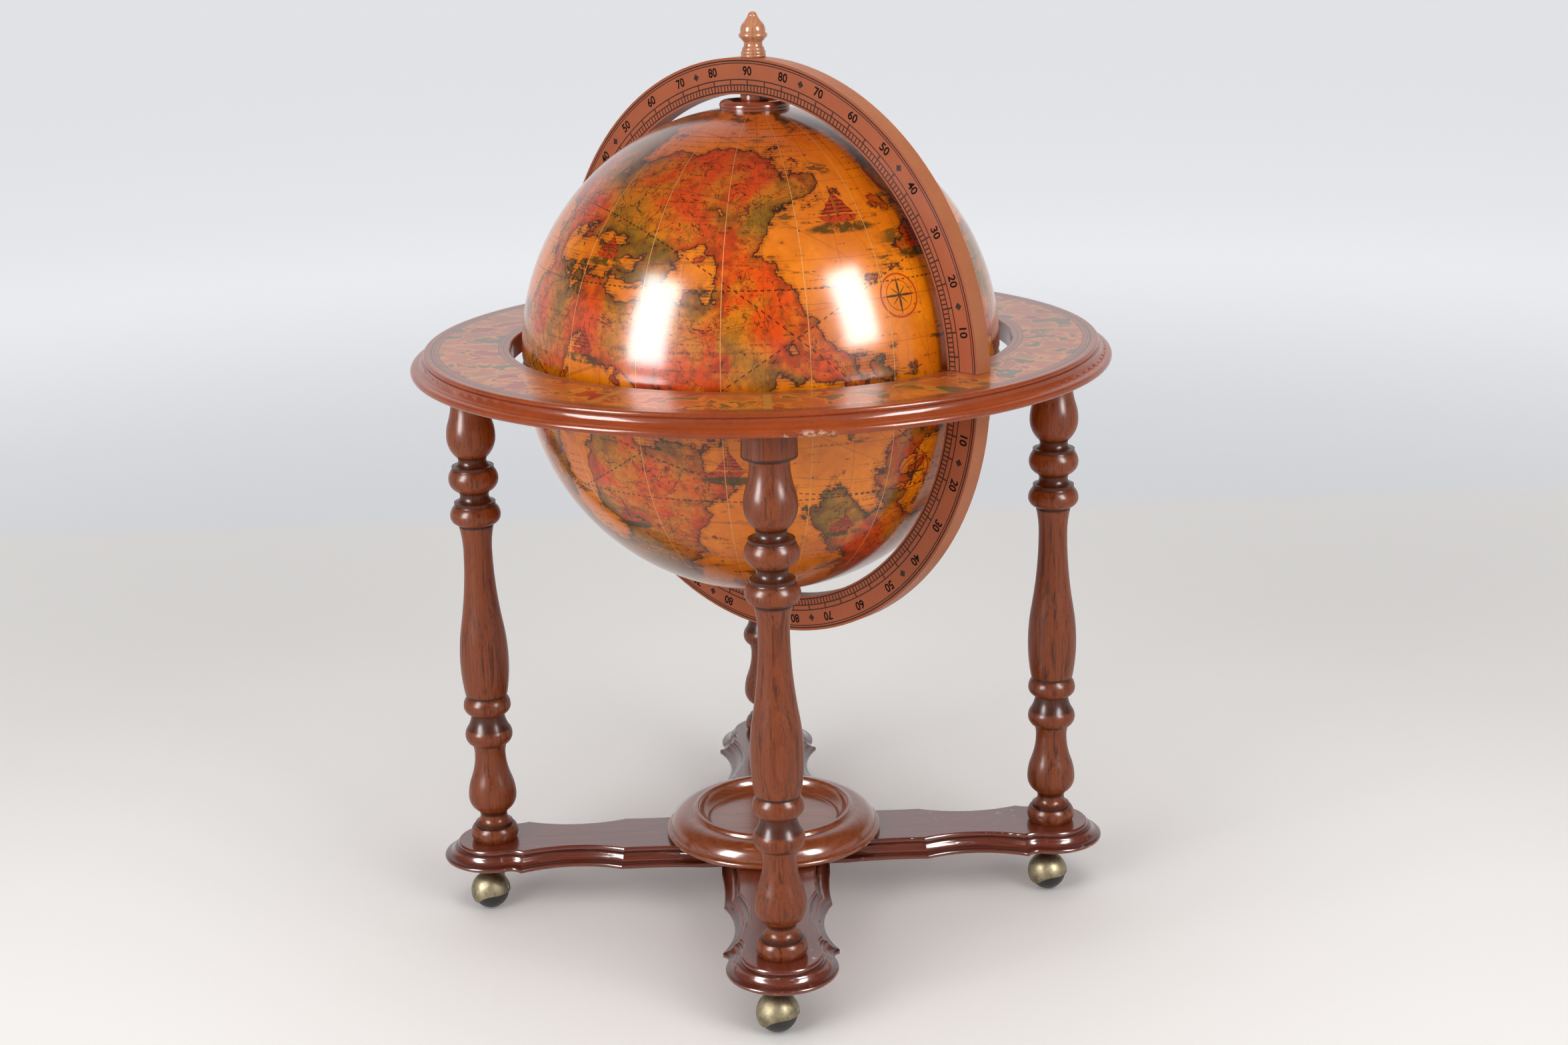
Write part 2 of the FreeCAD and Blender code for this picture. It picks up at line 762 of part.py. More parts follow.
foot_level = ring_top + dim("foot_gap")
node("upper_meridian", diagonal(cut(
    "upper_meridian", half_meridian("upper_band", upper_c, 1, foot_level), lid_holes + [
        block("rim_planing", (-band_out - 5, -thick, foot_level - 5), (-rim_flat, thick, upper_c + band_out / 4)),
        cylinder("north_hole", stud, 2 * thick + thick, z=upper_c + band_in - thick),
    ])))
pocket_top = lower_c - band_out + dim("nut_pocket_depth")
node("lower_meridian", diagonal(cut(
    "lower_meridian", half_meridian("lower_band", lower_c, -1, ring_bottom), long_holes + [
        cylinder("south_hole", stud, 2 * thick + thick, z=lower_c - band_out - thick),
        cylinder("nut_pocket", dim("nut_pocket"), dim("nut_pocket_depth") + thick, z=pocket_top
                 - dim("nut_pocket_depth") - thick),
    ])))

# Horizon ring with sockets for the legs
flat = edge - dim("ring_moulding")
lip = dim("ring_lip")
ring = turned("ring_blank", outline(
    (ring_bore, ring_bottom),
    (edge - 3.6, ring_bottom),
    (edge, ring_bottom + 3.8, edge - 3.2, ring_bottom + 7.6),
    (edge - 5.6, ring_bottom + 8.2),
    (edge - 11.2, ring_bottom + 10.4, edge - 13, ring_bottom + 15.8),
    (edge - 14.4, ring_bottom + 16.2),
    (edge - 13.9, ring_top - 1.7, flat, ring_top),
    (ring_bore + lip, ring_top),
    (ring_bore, ring_top - lip),
))
sockets = [
    cylinder("leg_socket", head + dim("fit_gap"), dim("leg_head_depth") + dim("fit_gap") + 5, x, y, ring_bottom - 5)
    for x, y in SIDES.values()
]
ring_drills = diagonal(grouped("ring_drills", long_holes + fixed_holes))
node("horizon_ring", cut("horizon_ring", ring, sockets + [ring_drills]))

# North pivot: a stud through the upper meridian, with finial, spacer, washer and nut
finial_low = upper_c + band_out
tip = finial_low + dim("finial_height")
stud_top = finial_low + dim("finial_stud")
washer_top = hub_in_upper - turn_gap
washer_low = washer_top - dim("washer_thick")
nut_low = washer_low - dim("nut_height")
node("north_pivot", cylinder("north_pivot", pivot, stud_top - nut_low + 3, z=nut_low - 3))
node("finial", turned("finial", outline(
    (stud, finial_low), (12, finial_low), (12.9, finial_low + 1.6, 12.2, finial_low + 3.1),
    (12.8, finial_low + 4.7, 12, finial_low + 6.3), (11.3, finial_low + 6.7),
    (11.5, finial_low + 8.4, 10.6, finial_low + 10), (10.1, finial_low + 10.4),
    (9.4, finial_low + 13.4, 10, finial_low + 15.6), (13.2, finial_low + 19.2),
    (14.7, finial_low + 21.8, 13.8, finial_low + 24.2), (12.6, finial_low + 24.6),
    (12.6, finial_low + 29.4, 10.2, finial_low + 34), (7.2, finial_low + 37.6, 5, finial_low + 41),
    (3.9, finial_low + 43.6, 1.8, tip - 0.2), (0, tip), (0, stud_top + dim("fit_gap")),
    (stud, stud_top + dim("fit_gap")),
)))
spacer = dim("spacer_radius")
cap_floor_upper = upper_c + outer + dim("cap_floor_rise")
spacer_top = upper_c + rise(band_in, spacer) - dim("fit_gap")
node("north_spacer", turned("north_spacer", outline(
    (stud, cap_floor_upper + turn_gap), (spacer - 1, cap_floor_upper + turn_gap),
    (spacer, cap_floor_upper + turn_gap + 1), (spacer, spacer_top), (stud, spacer_top),
)))


# Washer and hexagon nut on one pivot end
def nut(name, washer_from, nut_from):
    hexagon = [size(dim("nut_radius") * math.cos(math.radians(60 * k))) for k in range(6)]
    sides = [size(dim("nut_radius") * math.sin(math.radians(60 * k))) for k in range(6)]
    prism = sawn(name + "_prism", "XY_Plane", outline(*zip(hexagon, sides)), dim("nut_height"))
    place(prism, z=nut_from + dim("nut_height") / 2)
    disc = cylinder(name + "_disc", dim("washer_radius"), dim("washer_thick"), z=washer_from)
    return node(name, grouped(name, [
        cut(name + "_hexagon", prism, [cylinder(name + "_thread", stud, 40, z=nut_from - 10)]),
        cut(name + "_washer", disc, [cylinder(name + "_hole", stud, 40, z=washer_from - 10)]),
    ]))


nut("north_nut", washer_low, nut_low)

# South pivot: a stud in the lower meridian that the lower half turns on
south_washer = pocket_top - dim("washer_thick")
south_nut_low = south_washer - dim("nut_height")
nut("south_nut", south_washer, south_nut_low)
south_top = seat_top - turn_gap
node("south_pivot", cylinder("south_pivot", pivot, south_top - south_nut_low + 1, z=south_nut_low - 1))
cap_floor_lower = lower_c - outer - dim("cap_floor_rise")
spacer_low = lower_c - rise(band_in, spacer) + dim("fit_gap")
node("south_spacer", turned("south_spacer", outline(
    (stud, spacer_low), (spacer, spacer_low), (spacer, cap_floor_lower - turn_gap - 1),
    (spacer - 1, cap_floor_lower - turn_gap), (stud, cap_floor_lower - turn_gap),
)))

# Caster sockets, pressed into plank and leg from below
flange_low = plank_low - dim("socket_flange_thick")
stem_bore = dim("stem_radius") + dim("stem_play")
socket_path = outline(
    (stem_bore, flange_low), (dim("socket_flange"), flange_low), (dim("socket_flange"), plank_low),
    (dim("socket_radius"), plank_low), (dim("socket_radius"), plank_low + dim("socket_depth")),
    (0, plank_low + dim("socket_depth")), (0, plank_low + dim("socket_depth") - 2),
    (stem_bore, plank_low + dim("socket_depth") - 2),
)
node("caster_sockets", grouped("caster_sockets", [
    place(turned("caster_socket", socket_path), x, y) for x, y in SIDES.values()
]))

# Ball casters: hood, stem and axle swivel together, the ball turns on the tilted axle
SWIVEL = FreeCAD.Rotation(UP, sheet.get("swivel_turn"))
AXLE = FreeCAD.Rotation(ALONG, sheet.get("axle_tilt") - 90)
trail = dim("trail")
wheel_r = dim("ball_radius")
cavity = wheel_r + dim("ball_gap")
hood_r = cavity + dim("hood_wall")
boss_top = flange_low - turn_gap
boss = dim("boss_radius")
low = dim("hood_low")
high = dim("hood_high")
axle_half = hood_r - 0.3
tilt_y = cosine("axle_tilt")
tilt_z = sine("axle_tilt")


# Rod along the tilted axle, centred in the ball
def axle_rod(label, radius, half_length):
    return cylinder(
        label, radius, 2 * half_length, trail, -half_length * tilt_y, wheel_r - half_length * tilt_z, AXLE)


for side, (x, y) in SIDES.items():
    stem_hole = cylinder(
        "stem_hole", dim("stem_radius"), 2 * boss_top, z=dim("stem_bottom"))
    boss_body = turned("boss", outline(
        (0, dim("boss_bottom")), (boss - 3, dim("boss_bottom")),
        (boss - 0.9, dim("boss_bottom") + 0.9, boss, dim("boss_bottom") + 3),
        (boss, boss_top - 1), (boss - 1, boss_top), (0, boss_top)))
    hood_body = joined("hood_body", [ball("hood_ball", hood_r, trail, wheel_r), boss_body])
    wave = sawn("hood_wave", "YZ_Plane", outline(
        (-40, -20), (40, -20), (40, high), (hood_r * 0.5, high),
        (0, low + (high - low) * 0.72, -hood_r * 0.28, low + (high - low) * 0.25),
        (-hood_r * 0.5, low, -hood_r * 0.75, low + 0.5), (-40, low + 3),
    ), 4 * hood_r + 4 * trail)
    hood = cut("hood", hood_body, [
        ball("hood_cavity", cavity, trail, wheel_r), wave, stem_hole,
        axle_rod("axle_hole", dim("axle_radius"), 2 * hood_r)])
    node("caster_hood_" + side, place(hood, x, y, 0, SWIVEL))
    stem = cylinder(
        "stem", dim("stem_radius"), plank_low + dim("socket_depth") - 3 - dim("stem_bottom"), z=dim("stem_bottom"))
    node("caster_stem_" + side, place(grouped("stem_group", [stem]), x, y, 0, SWIVEL))
    axle = grouped("axle_group", [axle_rod("axle", dim("axle_radius"), axle_half)])
    node("caster_axle_" + side, place(axle, x, y, 0, SWIVEL))
    rolling = cut("ball", ball("ball_blank", wheel_r, trail, wheel_r), [
        axle_rod("ball_bore", dim("axle_radius") + dim("axle_play"), 2 * wheel_r)])
    node("caster_ball_" + side, place(rolling, x, y, 0, SWIVEL))

doc.recompute()
for item in doc.Objects:
    if "Invalid" in item.State or "Error" in item.State:
        raise RuntimeError("%s is %s" % (item.Label, item.State))
os.makedirs("parts", exist_ok=True)
for name, item in nodes:
    if item.Shape.isNull() or not item.Shape.isValid():
        raise RuntimeError(name + " has no valid shape")
    item.Shape.exportStep("parts/%s.step" % name)
    box = item.Shape.BoundBox
    print("%-20s %d solids, %.0f mm3, z %.1f to %.1f" % (
        name, len(item.Shape.Solids), item.Shape.Volume, box.ZMin, box.ZMax))
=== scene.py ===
import json
import math
import bpy
from mathutils import Matrix, Vector

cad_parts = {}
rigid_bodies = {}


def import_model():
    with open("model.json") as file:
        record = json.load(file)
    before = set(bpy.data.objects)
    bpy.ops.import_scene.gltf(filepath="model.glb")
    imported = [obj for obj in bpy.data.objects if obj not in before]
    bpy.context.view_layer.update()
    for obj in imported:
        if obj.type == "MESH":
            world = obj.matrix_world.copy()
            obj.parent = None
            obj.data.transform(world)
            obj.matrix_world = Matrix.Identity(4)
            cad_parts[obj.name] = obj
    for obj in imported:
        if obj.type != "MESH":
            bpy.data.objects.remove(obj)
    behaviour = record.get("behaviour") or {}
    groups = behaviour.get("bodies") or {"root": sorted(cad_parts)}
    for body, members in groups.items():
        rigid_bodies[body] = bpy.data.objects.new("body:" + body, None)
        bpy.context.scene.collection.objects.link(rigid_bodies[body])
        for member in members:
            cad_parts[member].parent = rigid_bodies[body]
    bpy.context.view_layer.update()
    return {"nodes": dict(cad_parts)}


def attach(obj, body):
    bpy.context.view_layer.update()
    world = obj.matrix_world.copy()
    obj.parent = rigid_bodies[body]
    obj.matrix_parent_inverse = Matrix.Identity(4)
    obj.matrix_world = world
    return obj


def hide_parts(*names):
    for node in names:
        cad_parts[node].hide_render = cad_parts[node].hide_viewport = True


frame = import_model()
nodes = frame["nodes"]
print("frame loaded")


# colours are sRGB hex, Blender wants linear light
def linear(code):
    out = []
    for k in (1, 3, 5):
        v = int(code[k:k + 2], 16) / 255
        out.append(v / 12.92 if v <= 0.04045 else ((v + 0.055) / 1.055) ** 2.4)
    return (*out, 1.0)


modes = {"Math": "operation", "VectorMath": "operation", "MapRange": "interpolation_type", "Mix": "data_type"}


# one node: a second word in its kind is its mode, plain values fill or link the inputs in their order,
# capital names are inputs, small names are settings, and it gives back the output asked for
def add(tree, kind, *values, out=None, **named):
    kind, *mode = kind.split()
    made = tree.nodes.new(kind if "Node" in kind else "ShaderNode" + kind)
    if mode:
        setattr(made, modes[kind], mode[0])
    fills = list(zip((s for s in made.inputs if s.enabled), values))
    for key, value in named.items():
        if key[0].islower():
            setattr(made, key, value)
        else:
            fills.append((made.inputs[key.replace("_", " ")], value))
    for socket, value in fills:
        for item in value if isinstance(value, list) else [value]:
            if isinstance(item, bpy.types.NodeSocket):
                tree.links.new(item, socket)
            else:
                socket.default_value = item
    return made.outputs[out] if out else next((s for s in made.outputs if s.enabled), None)


def blank(name):
    material = bpy.data.materials.new(name)
    material.use_nodes = True
    material.node_tree.nodes.clear()
    return material


# what every finish ends in: one principled surface, with a fine relief where there is any
def surface(material, colour, roughness, relief=None, depth=0.0005, **named):
    t = material.node_tree
    if relief is not None:
        named["Normal"] = add(t, "Bump", Height=relief, Distance=depth, Strength=1.0)
    add(t, "OutputMaterial", add(t, "BsdfPrincipled", Base_Color=colour, Roughness=roughness, **named))
    return material


# groove marks are stain in the grooves together with painted shade in the recesses; scuff is pale wear
woodMarks = {"grooveStainAndShade": "#240D08", "scuff": "#B9A69A"}


# stained and varnished beech: growth rings about a pith line, fibres about 2 mm by 70 mm, streaks 4 mm wide,
# pores drawn 0.7 mm wide so that they show, and a darker stain with painted shade in the grooves and necks
def wood(name, light, dark, pore, along="Z", ringGap=0.0045, rough=0.34, coat=0.5, shine=0.3,
         grooves=(), scuff=0.0, figure=0.6, streak=0.3):
    material = blank(name)
    t = material.node_tree
    p = add(t, "TexCoord", out="Object")
    order = {"X": (0, math.pi / 2, 0), "Y": (-math.pi / 2, 0, 0), "Z": (0, 0, 0)}[along]
    turned = add(t, "Mapping", Vector=p, Rotation=order)
    wander = add(
        t, "TexNoise", Vector=add(t, "Mapping", Vector=turned, Scale=(9, 9, 1.6)), Scale=1.0, Detail=2.0)
    dx, dy = (add(t, "SeparateXYZ", turned, out=axis) for axis in "XY")
    dx = add(t, "Math ADD", dx, add(t, "Math MULTIPLY_ADD", wander, 0.05, 0.037))
    dy = add(t, "Math ADD", dy, add(t, "Math MULTIPLY_ADD", wander, 0.03, -0.021))
    away = add(t, "VectorMath LENGTH", add(t, "CombineXYZ", dx, dy))
    ring = add(t, "Math FRACT", add(t, "Math DIVIDE", away, ringGap))
    ring = add(t, "Math POWER", ring, 2.2)
    fibre = add(
        t, "TexNoise", Vector=add(t, "Mapping", Vector=turned, Scale=(520, 520, 14)), Scale=1.0, Detail=3.0,
        Roughness=0.6)
    vein = add(
        t, "TexNoise", Vector=add(t, "Mapping", Vector=turned, Scale=(260, 260, 9)), Scale=1.0, Detail=4.0,
        Roughness=0.7, Distortion=0.2)
    pores = add(
        t, "TexNoise", Vector=add(t, "Mapping", Vector=turned, Scale=(1500, 1500, 60)), Scale=1.0,
        Detail=1.0)
    patch = add(
        t, "TexNoise", Vector=add(t, "Mapping", Vector=turned, Scale=(7, 7, 3)), Scale=1.0, Detail=3.0)
    tone = add(
        t, "Math ADD", add(t, "Math MULTIPLY", ring, 0.55 * figure), add(t, "Math MULTIPLY", fibre, 0.5))
    tone = add(t, "Math ADD", tone, add(t, "Math MULTIPLY_ADD", patch, 0.7, -0.42), use_clamp=True)
    colour = add(t, "Mix RGBA", tone, linear(light), linear(dark))
    for marks, low, high, amount in ((vein, 0.5, 0.68, streak), (pores, 0.6, 0.72, 0.5)):
        marks = add(t, "MapRange SMOOTHSTEP", marks, low, high, 0.0, amount)
        colour = add(t, "Mix RGBA", marks, colour, linear(pore))
    # the grooves and necks darken with stain left in them and with painted shade in the recesses
    if grooves:
        level = add(t, "SeparateXYZ", p, out="Z")
        deep = 0.0
        for low, high, amount in grooves:
            above = add(t, "MapRange SMOOTHSTEP", level, low - 0.0015, low + 0.001)
            below = add(t, "MapRange SMOOTHSTEP", level, high + 0.0015, high - 0.001, 0.0, amount)
            deep = add(t, "Math MAXIMUM", deep, add(t, "Math MULTIPLY", above, below))
        colour = add(t, "Mix RGBA", deep, colour, linear(woodMarks["grooveStainAndShade"]))
    roughness = add(t, "Math MULTIPLY_ADD", patch, 0.16, rough - 0.08)
    if scuff:
        worn = add(
            t, "TexNoise", Vector=add(t, "Mapping", Vector=p, Scale=(60, 60, 200)), Scale=1.0, Detail=5.0,
            Roughness=0.7)
        spots = add(t, "TexNoise", Vector=p, Scale=9.0, Detail=2.0)
        worn = add(t, "MapRange SMOOTHSTEP", worn, 0.6, 0.7)
        worn = add(t, "Math MULTIPLY", worn, add(t, "MapRange SMOOTHSTEP", spots, 0.55, 0.7, 0.0, scuff))
        colour = add(t, "Mix RGBA", worn, colour, linear(woodMarks["scuff"]))
    return surface(
        material, colour, roughness, add(t, "Math MULTIPLY", fibre, 0.5), 0.00012, Specular_IOR_Level=0.12,
        Coat_Weight=coat, Coat_Roughness=shine, Coat_IOR=1.6)


# cast or pressed metal that has aged: worn bright, darker stain in spots of about 11 mm,
# and a grain drawn 1.4 mm wide so that it shows
def agedMetal(name, light, dark, rough, grime):
    material = blank(name)
    t = material.node_tree
    p = add(t, "TexCoord", out="Object")
    stain = add(t, "TexNoise", Vector=p, Scale=90.0, Detail=5.0, Roughness=0.65)
    fine = add(t, "TexNoise", Vector=p, Scale=700.0, Detail=3.0, Roughness=0.6)
    dirt = add(t, "MapRange SMOOTHSTEP", stain, 0.35, 0.7, 0.0, grime)
    colour = add(t, "Mix RGBA", dirt, linear(light), linear(dark))
    roughness = add(t, "Math MULTIPLY_ADD", fine, 0.08, rough - 0.15)
    roughness = add(t, "Math MULTIPLY_ADD", stain, 0.22, roughness)
    return surface(material, colour, roughness, fine, 0.00004, Metallic=1.0)


# even sheet or moulding: two close tones 25 mm apart and a tooth drawn 1 mm wide so that it shows
def plain(name, light, dark, rough, coat=0.0, gloss=0.3):
    material = blank(name)
    t = material.node_tree
    p = add(t, "TexCoord", out="Object")
    tone = add(t, "TexNoise", Vector=p, Scale=40.0, Detail=4.0, Roughness=0.6)
    tooth = add(t, "TexNoise", Vector=p, Scale=900.0, Detail=2.0)
    return surface(
        material, add(t, "Mix RGBA", tone, linear(light), linear(dark)), rough, tooth, 0.00005,
        Specular_IOR_Level=gloss, Coat_Weight=coat, Coat_Roughness=0.1)


# thin line where a value is near a level
def stripe(t, value, level, half, blur):
    gap = add(t, "Math ABSOLUTE", add(t, "Math SUBTRACT", value, level))
    return add(t, "MapRange", gap, half + blur, half)


# thin line that repeats at a pitch
def comb(t, value, pitch, half, blur):
    part = add(t, "Math FRACT", add(t, "Math MULTIPLY_ADD", value, 1 / pitch, 0.5))
    part = add(t, "Math ABSOLUTE", add(t, "Math SUBTRACT", part, 0.5))
    gap = add(t, "Math MULTIPLY", part, pitch)
    return add(t, "MapRange", gap, half + blur, half)


# directions east, north and out at a place on the globe
def local(lon, lat):
    a, b = math.radians(lon), math.radians(lat)
    east = (-math.sin(a), math.cos(a), 0)
    north = (-math.sin(b) * math.cos(a), -math.sin(b) * math.sin(a), math.cos(b))
    return east, north, (math.cos(a) * math.cos(b), math.sin(a) * math.cos(b), math.sin(b))


# masks that all hold, and the strongest of several masks
def every(t, first, *rest):
    for value in rest:
        first = add(t, "Math MULTIPLY", first, value)
    return first


def largest(t, first, *rest):
    for value in rest:
        first = add(t, "Math MAXIMUM", first, value)
    return first


# traditional eight-point compass star with two rings, and fine rhumb lines through its centre
def compass(t, d, lon, lat, size):
    east, north, out = local(lon, lat)
    u = add(t, "VectorMath DOT_PRODUCT", d, east)
    v = add(t, "VectorMath DOT_PRODUCT", d, north)
    side = add(t, "Math GREATER_THAN", add(t, "VectorMath DOT_PRODUCT", d, out), 0.0)
    radius = add(t, "VectorMath LENGTH", add(t, "CombineXYZ", u, v))
    turn = add(t, "Math MULTIPLY", add(t, "Math ARCTAN2", v, u), 1 / math.pi)
    star = 0.0
    for points, reach, power in ((2.0, 0.94, 5.0), (4.0, 0.6, 3.0)):
        wave = add(t, "Math SUBTRACT", add(t, "Math FRACT", add(t, "Math MULTIPLY", turn, points)), 0.5)
        wave = add(t, "Math POWER", add(t, "Math MULTIPLY", add(t, "Math ABSOLUTE", wave), 2.0), power)
        edge = add(t, "Math MULTIPLY_ADD", wave, size * reach * 0.9, size * reach * 0.1)
        inside = add(t, "MapRange", add(t, "Math SUBTRACT", edge, radius), 0.0, 0.0012)
        star = add(t, "Math MAXIMUM", star, inside)
    rings = stripe(t, radius, size, 0.0034, 0.0008)
    rings = add(t, "Math MAXIMUM", rings, stripe(t, radius, size * 0.7, 0.0016, 0.0008))
    rays = every(t, comb(t, turn, 1 / 8, 0.0012, 0.0012), add(t, "Math GREATER_THAN", radius, size))
    return [add(t, "Math MULTIPLY", m, side) for m in (star, rings, rays)]


# plain little sailing boat over a hatched swell
def boat(t, d, lon, lat, size):
    east, north, out = local(lon, lat)
    u = add(t, "Math DIVIDE", add(t, "VectorMath DOT_PRODUCT", d, east), size)
    v = add(t, "Math DIVIDE", add(t, "VectorMath DOT_PRODUCT", d, north), size)
    side = add(t, "Math GREATER_THAN", add(t, "VectorMath DOT_PRODUCT", d, out), 0.5)
    hull = every(
        t, add(t, "Math GREATER_THAN", v, -0.52), add(t, "Math LESS_THAN", v, -0.24),
        add(t, "Math LESS_THAN", add(t, "Math ABSOLUTE", u), add(t, "Math ADD", v, 1.0)))
    main = every(
        t, add(t, "Math GREATER_THAN", v, -0.18), add(t, "Math GREATER_THAN", u, 0.04),
        add(t, "Math LESS_THAN", u, add(t, "Math MULTIPLY_ADD", v, -0.62, 0.5)))
    fore = every(
        t, add(t, "Math GREATER_THAN", v, -0.18), add(t, "Math LESS_THAN", u, -0.05),
        add(t, "Math GREATER_THAN", u, add(t, "Math MULTIPLY_ADD", v, 0.8, -0.46)))
    mast = every(
        t, add(t, "Math GREATER_THAN", v, -0.3), add(t, "Math LESS_THAN", v, 0.95),
        add(t, "Math LESS_THAN", add(t, "Math ABSOLUTE", u), 0.035))
    low = add(t, "Math DIVIDE", add(t, "Math ADD", v, 0.72), 0.26)
    far = add(t, "Math DIVIDE", u, 1.35)
    pool = add(t, "Math ADD", add(t, "Math MULTIPLY", low, low), add(t, "Math MULTIPLY", far, far))
    pool = add(t, "MapRange", pool, 1.0, 0.5)
    shade = largest(t, mast, every(t, comb(t, v, 0.16, 0.025, 0.02), add(t, "Math MAXIMUM", main, fore)))
    return [add(t, "Math MULTIPLY", m, side) for m in (largest(t, hull, main, fore), shade, pool)]


# the poles colour is painted shade, multiplied in towards both poles
mapColours = {
    "sea": "#EE8606", "agedSea": "#D06A06", "mottledSea": "#B45A08", "redLand": "#D24806",
    "ochreLand": "#CC7410", "oliveLand": "#8C6412", "redFringe": "#8E2402", "brownFringe": "#4E3608",
    "mottledLand": "#74320A", "shelf": "#74360A", "swell": "#4E3E10", "pen": "#43210F", "dashes": "#4A240E",
    "outline": "#2E1A0E", "grid": "#5A2E12", "circles": "#33190D", "rays": "#6B3A18", "rings": "#B0320A",
    "star": "#33200F", "pool": "#403408", "boat": "#B83404", "boatShade": "#3A1608", "seam": "#EDB266",
    "stain": "#7A3208", "specks": "#4A220A", "paintedPoleShade": "#8A340C",
}


# varnished map gores in the manner of an old chart, with invented coasts;
# sizes count on a globe of radius 1, so a scale of 26 gives spots of about 10 mm
def globePrint(name, centre, shift, rose, boats):
    material = blank(name)
    t = material.node_tree
    hue = {part: linear(code) for part, code in mapColours.items()}
    p = add(t, "TexCoord", out="Object")
    d = add(t, "VectorMath NORMALIZE", add(t, "VectorMath SUBTRACT", p, (0, 0, centre)))
    x, y, z = (add(t, "SeparateXYZ", d, out=axis) for axis in "XYZ")
    lon = add(t, "Math ARCTAN2", y, x)
    lat = add(t, "Math ARCSINE", z)
    across = add(t, "Math SQRT", add(t, "Math SUBTRACT", 1.0, add(t, "Math MULTIPLY", z, z)))
    moved = add(t, "VectorMath ADD", d, shift)

    # coasts and islands
    coast = add(t, "TexNoise", Vector=moved, Scale=1.75, Detail=7.0, Roughness=0.52, Distortion=0.3)
    frayed = add(t, "TexNoise", Vector=d, Scale=22.0, Detail=3.0, Roughness=0.55)
    coast = add(t, "Math MULTIPLY_ADD", frayed, 0.05, add(t, "Math SUBTRACT", coast, 0.537))
    islands = add(t, "TexNoise", Vector=moved, Scale=7.5, Detail=4.0, Roughness=0.55)
    islands = add(t, "Math MULTIPLY_ADD", islands, 0.6, -0.39)
    height = add(t, "Math MAXIMUM", coast, islands)
    land = add(t, "MapRange SMOOTHSTEP", height, -0.001, 0.001)
    inland = add(t, "Math MULTIPLY", land, add(t, "MapRange SMOOTHSTEP", height, 0.0, 0.05))
    shelf = add(t, "MapRange SMOOTHSTEP", height, -0.034, 0.0)
    shelf = add(t, "Math MULTIPLY", shelf, add(t, "Math SUBTRACT", 1.0, land))
    outline = add(t, "MapRange", add(t, "Math ABSOLUTE", height), 0.0055, 0.0022)
    realm = add(t, "TexNoise", Vector=moved, Scale=2.6, Detail=5.0, Roughness=0.62, Distortion=0.3)
    mottle = add(t, "TexNoise", Vector=d, Scale=26.0, Detail=6.0, Roughness=0.7)
    age = add(t, "TexNoise", Vector=d, Scale=3.2, Detail=5.0, Roughness=0.6)
    grit = add(t, "TexNoise", Vector=d, Scale=90.0, Detail=3.0, Roughness=0.7)

    # sea, and three washes of colour on the land
    sea = add(t, "Mix RGBA", add(t, "MapRange SMOOTHSTEP", age, 0.3, 0.7), hue["sea"], hue["agedSea"])
    spots = add(t, "MapRange SMOOTHSTEP", mottle, 0.45, 0.75, 0.0, 0.35)
    sea = add(t, "Mix RGBA", spots, sea, hue["mottledSea"])
    ochre = add(t, "MapRange SMOOTHSTEP", realm, 0.4, 0.52)
    fill = add(t, "Mix RGBA", ochre, hue["redLand"], hue["ochreLand"])
    fill = add(t, "Mix RGBA", add(t, "MapRange SMOOTHSTEP", realm, 0.48, 0.62), fill, hue["oliveLand"])
    brown = add(t, "MapRange SMOOTHSTEP", realm, 0.46, 0.54)
    fringe = add(t, "Mix RGBA", brown, hue["redFringe"], hue["brownFringe"])
    ground = add(t, "Mix RGBA", add(t, "Math MULTIPLY_ADD", inland, -0.75, 0.75), fill, fringe)
    spots = add(t, "MapRange SMOOTHSTEP", mottle, 0.46, 0.66, 0.0, 0.6)
    ground = add(t, "Mix RGBA", spots, ground, hue["mottledLand"])
    rows = comb(t, lat, 0.0125, 0.002, 0.0014)
    fringing = add(t, "Math MULTIPLY", shelf, add(t, "Math MULTIPLY_ADD", rows, 0.5, 0.36))
    sea = add(t, "Mix RGBA", fringing, sea, hue["shelf"])

    # hatched swell in patches of open sea
    swell = add(
        t, "TexNoise", Vector=add(t, "Mapping", Vector=d, Scale=(9, 9, 46), Location=(3.1, 0.4, 1.7)),
        Scale=1.0, Detail=3.0, Roughness=0.6)
    where = add(t, "TexNoise", Vector=d, Scale=4.6, Detail=1.0)
    where = add(t, "MapRange SMOOTHSTEP", where, 0.56, 0.62, 0.0, 0.8)
    swell = add(t, "Math MULTIPLY", add(t, "MapRange SMOOTHSTEP", swell, 0.54, 0.6), where)
    sea = add(t, "Mix RGBA", swell, sea, hue["swell"])
    colour = add(t, "Mix RGBA", land, sea, ground)

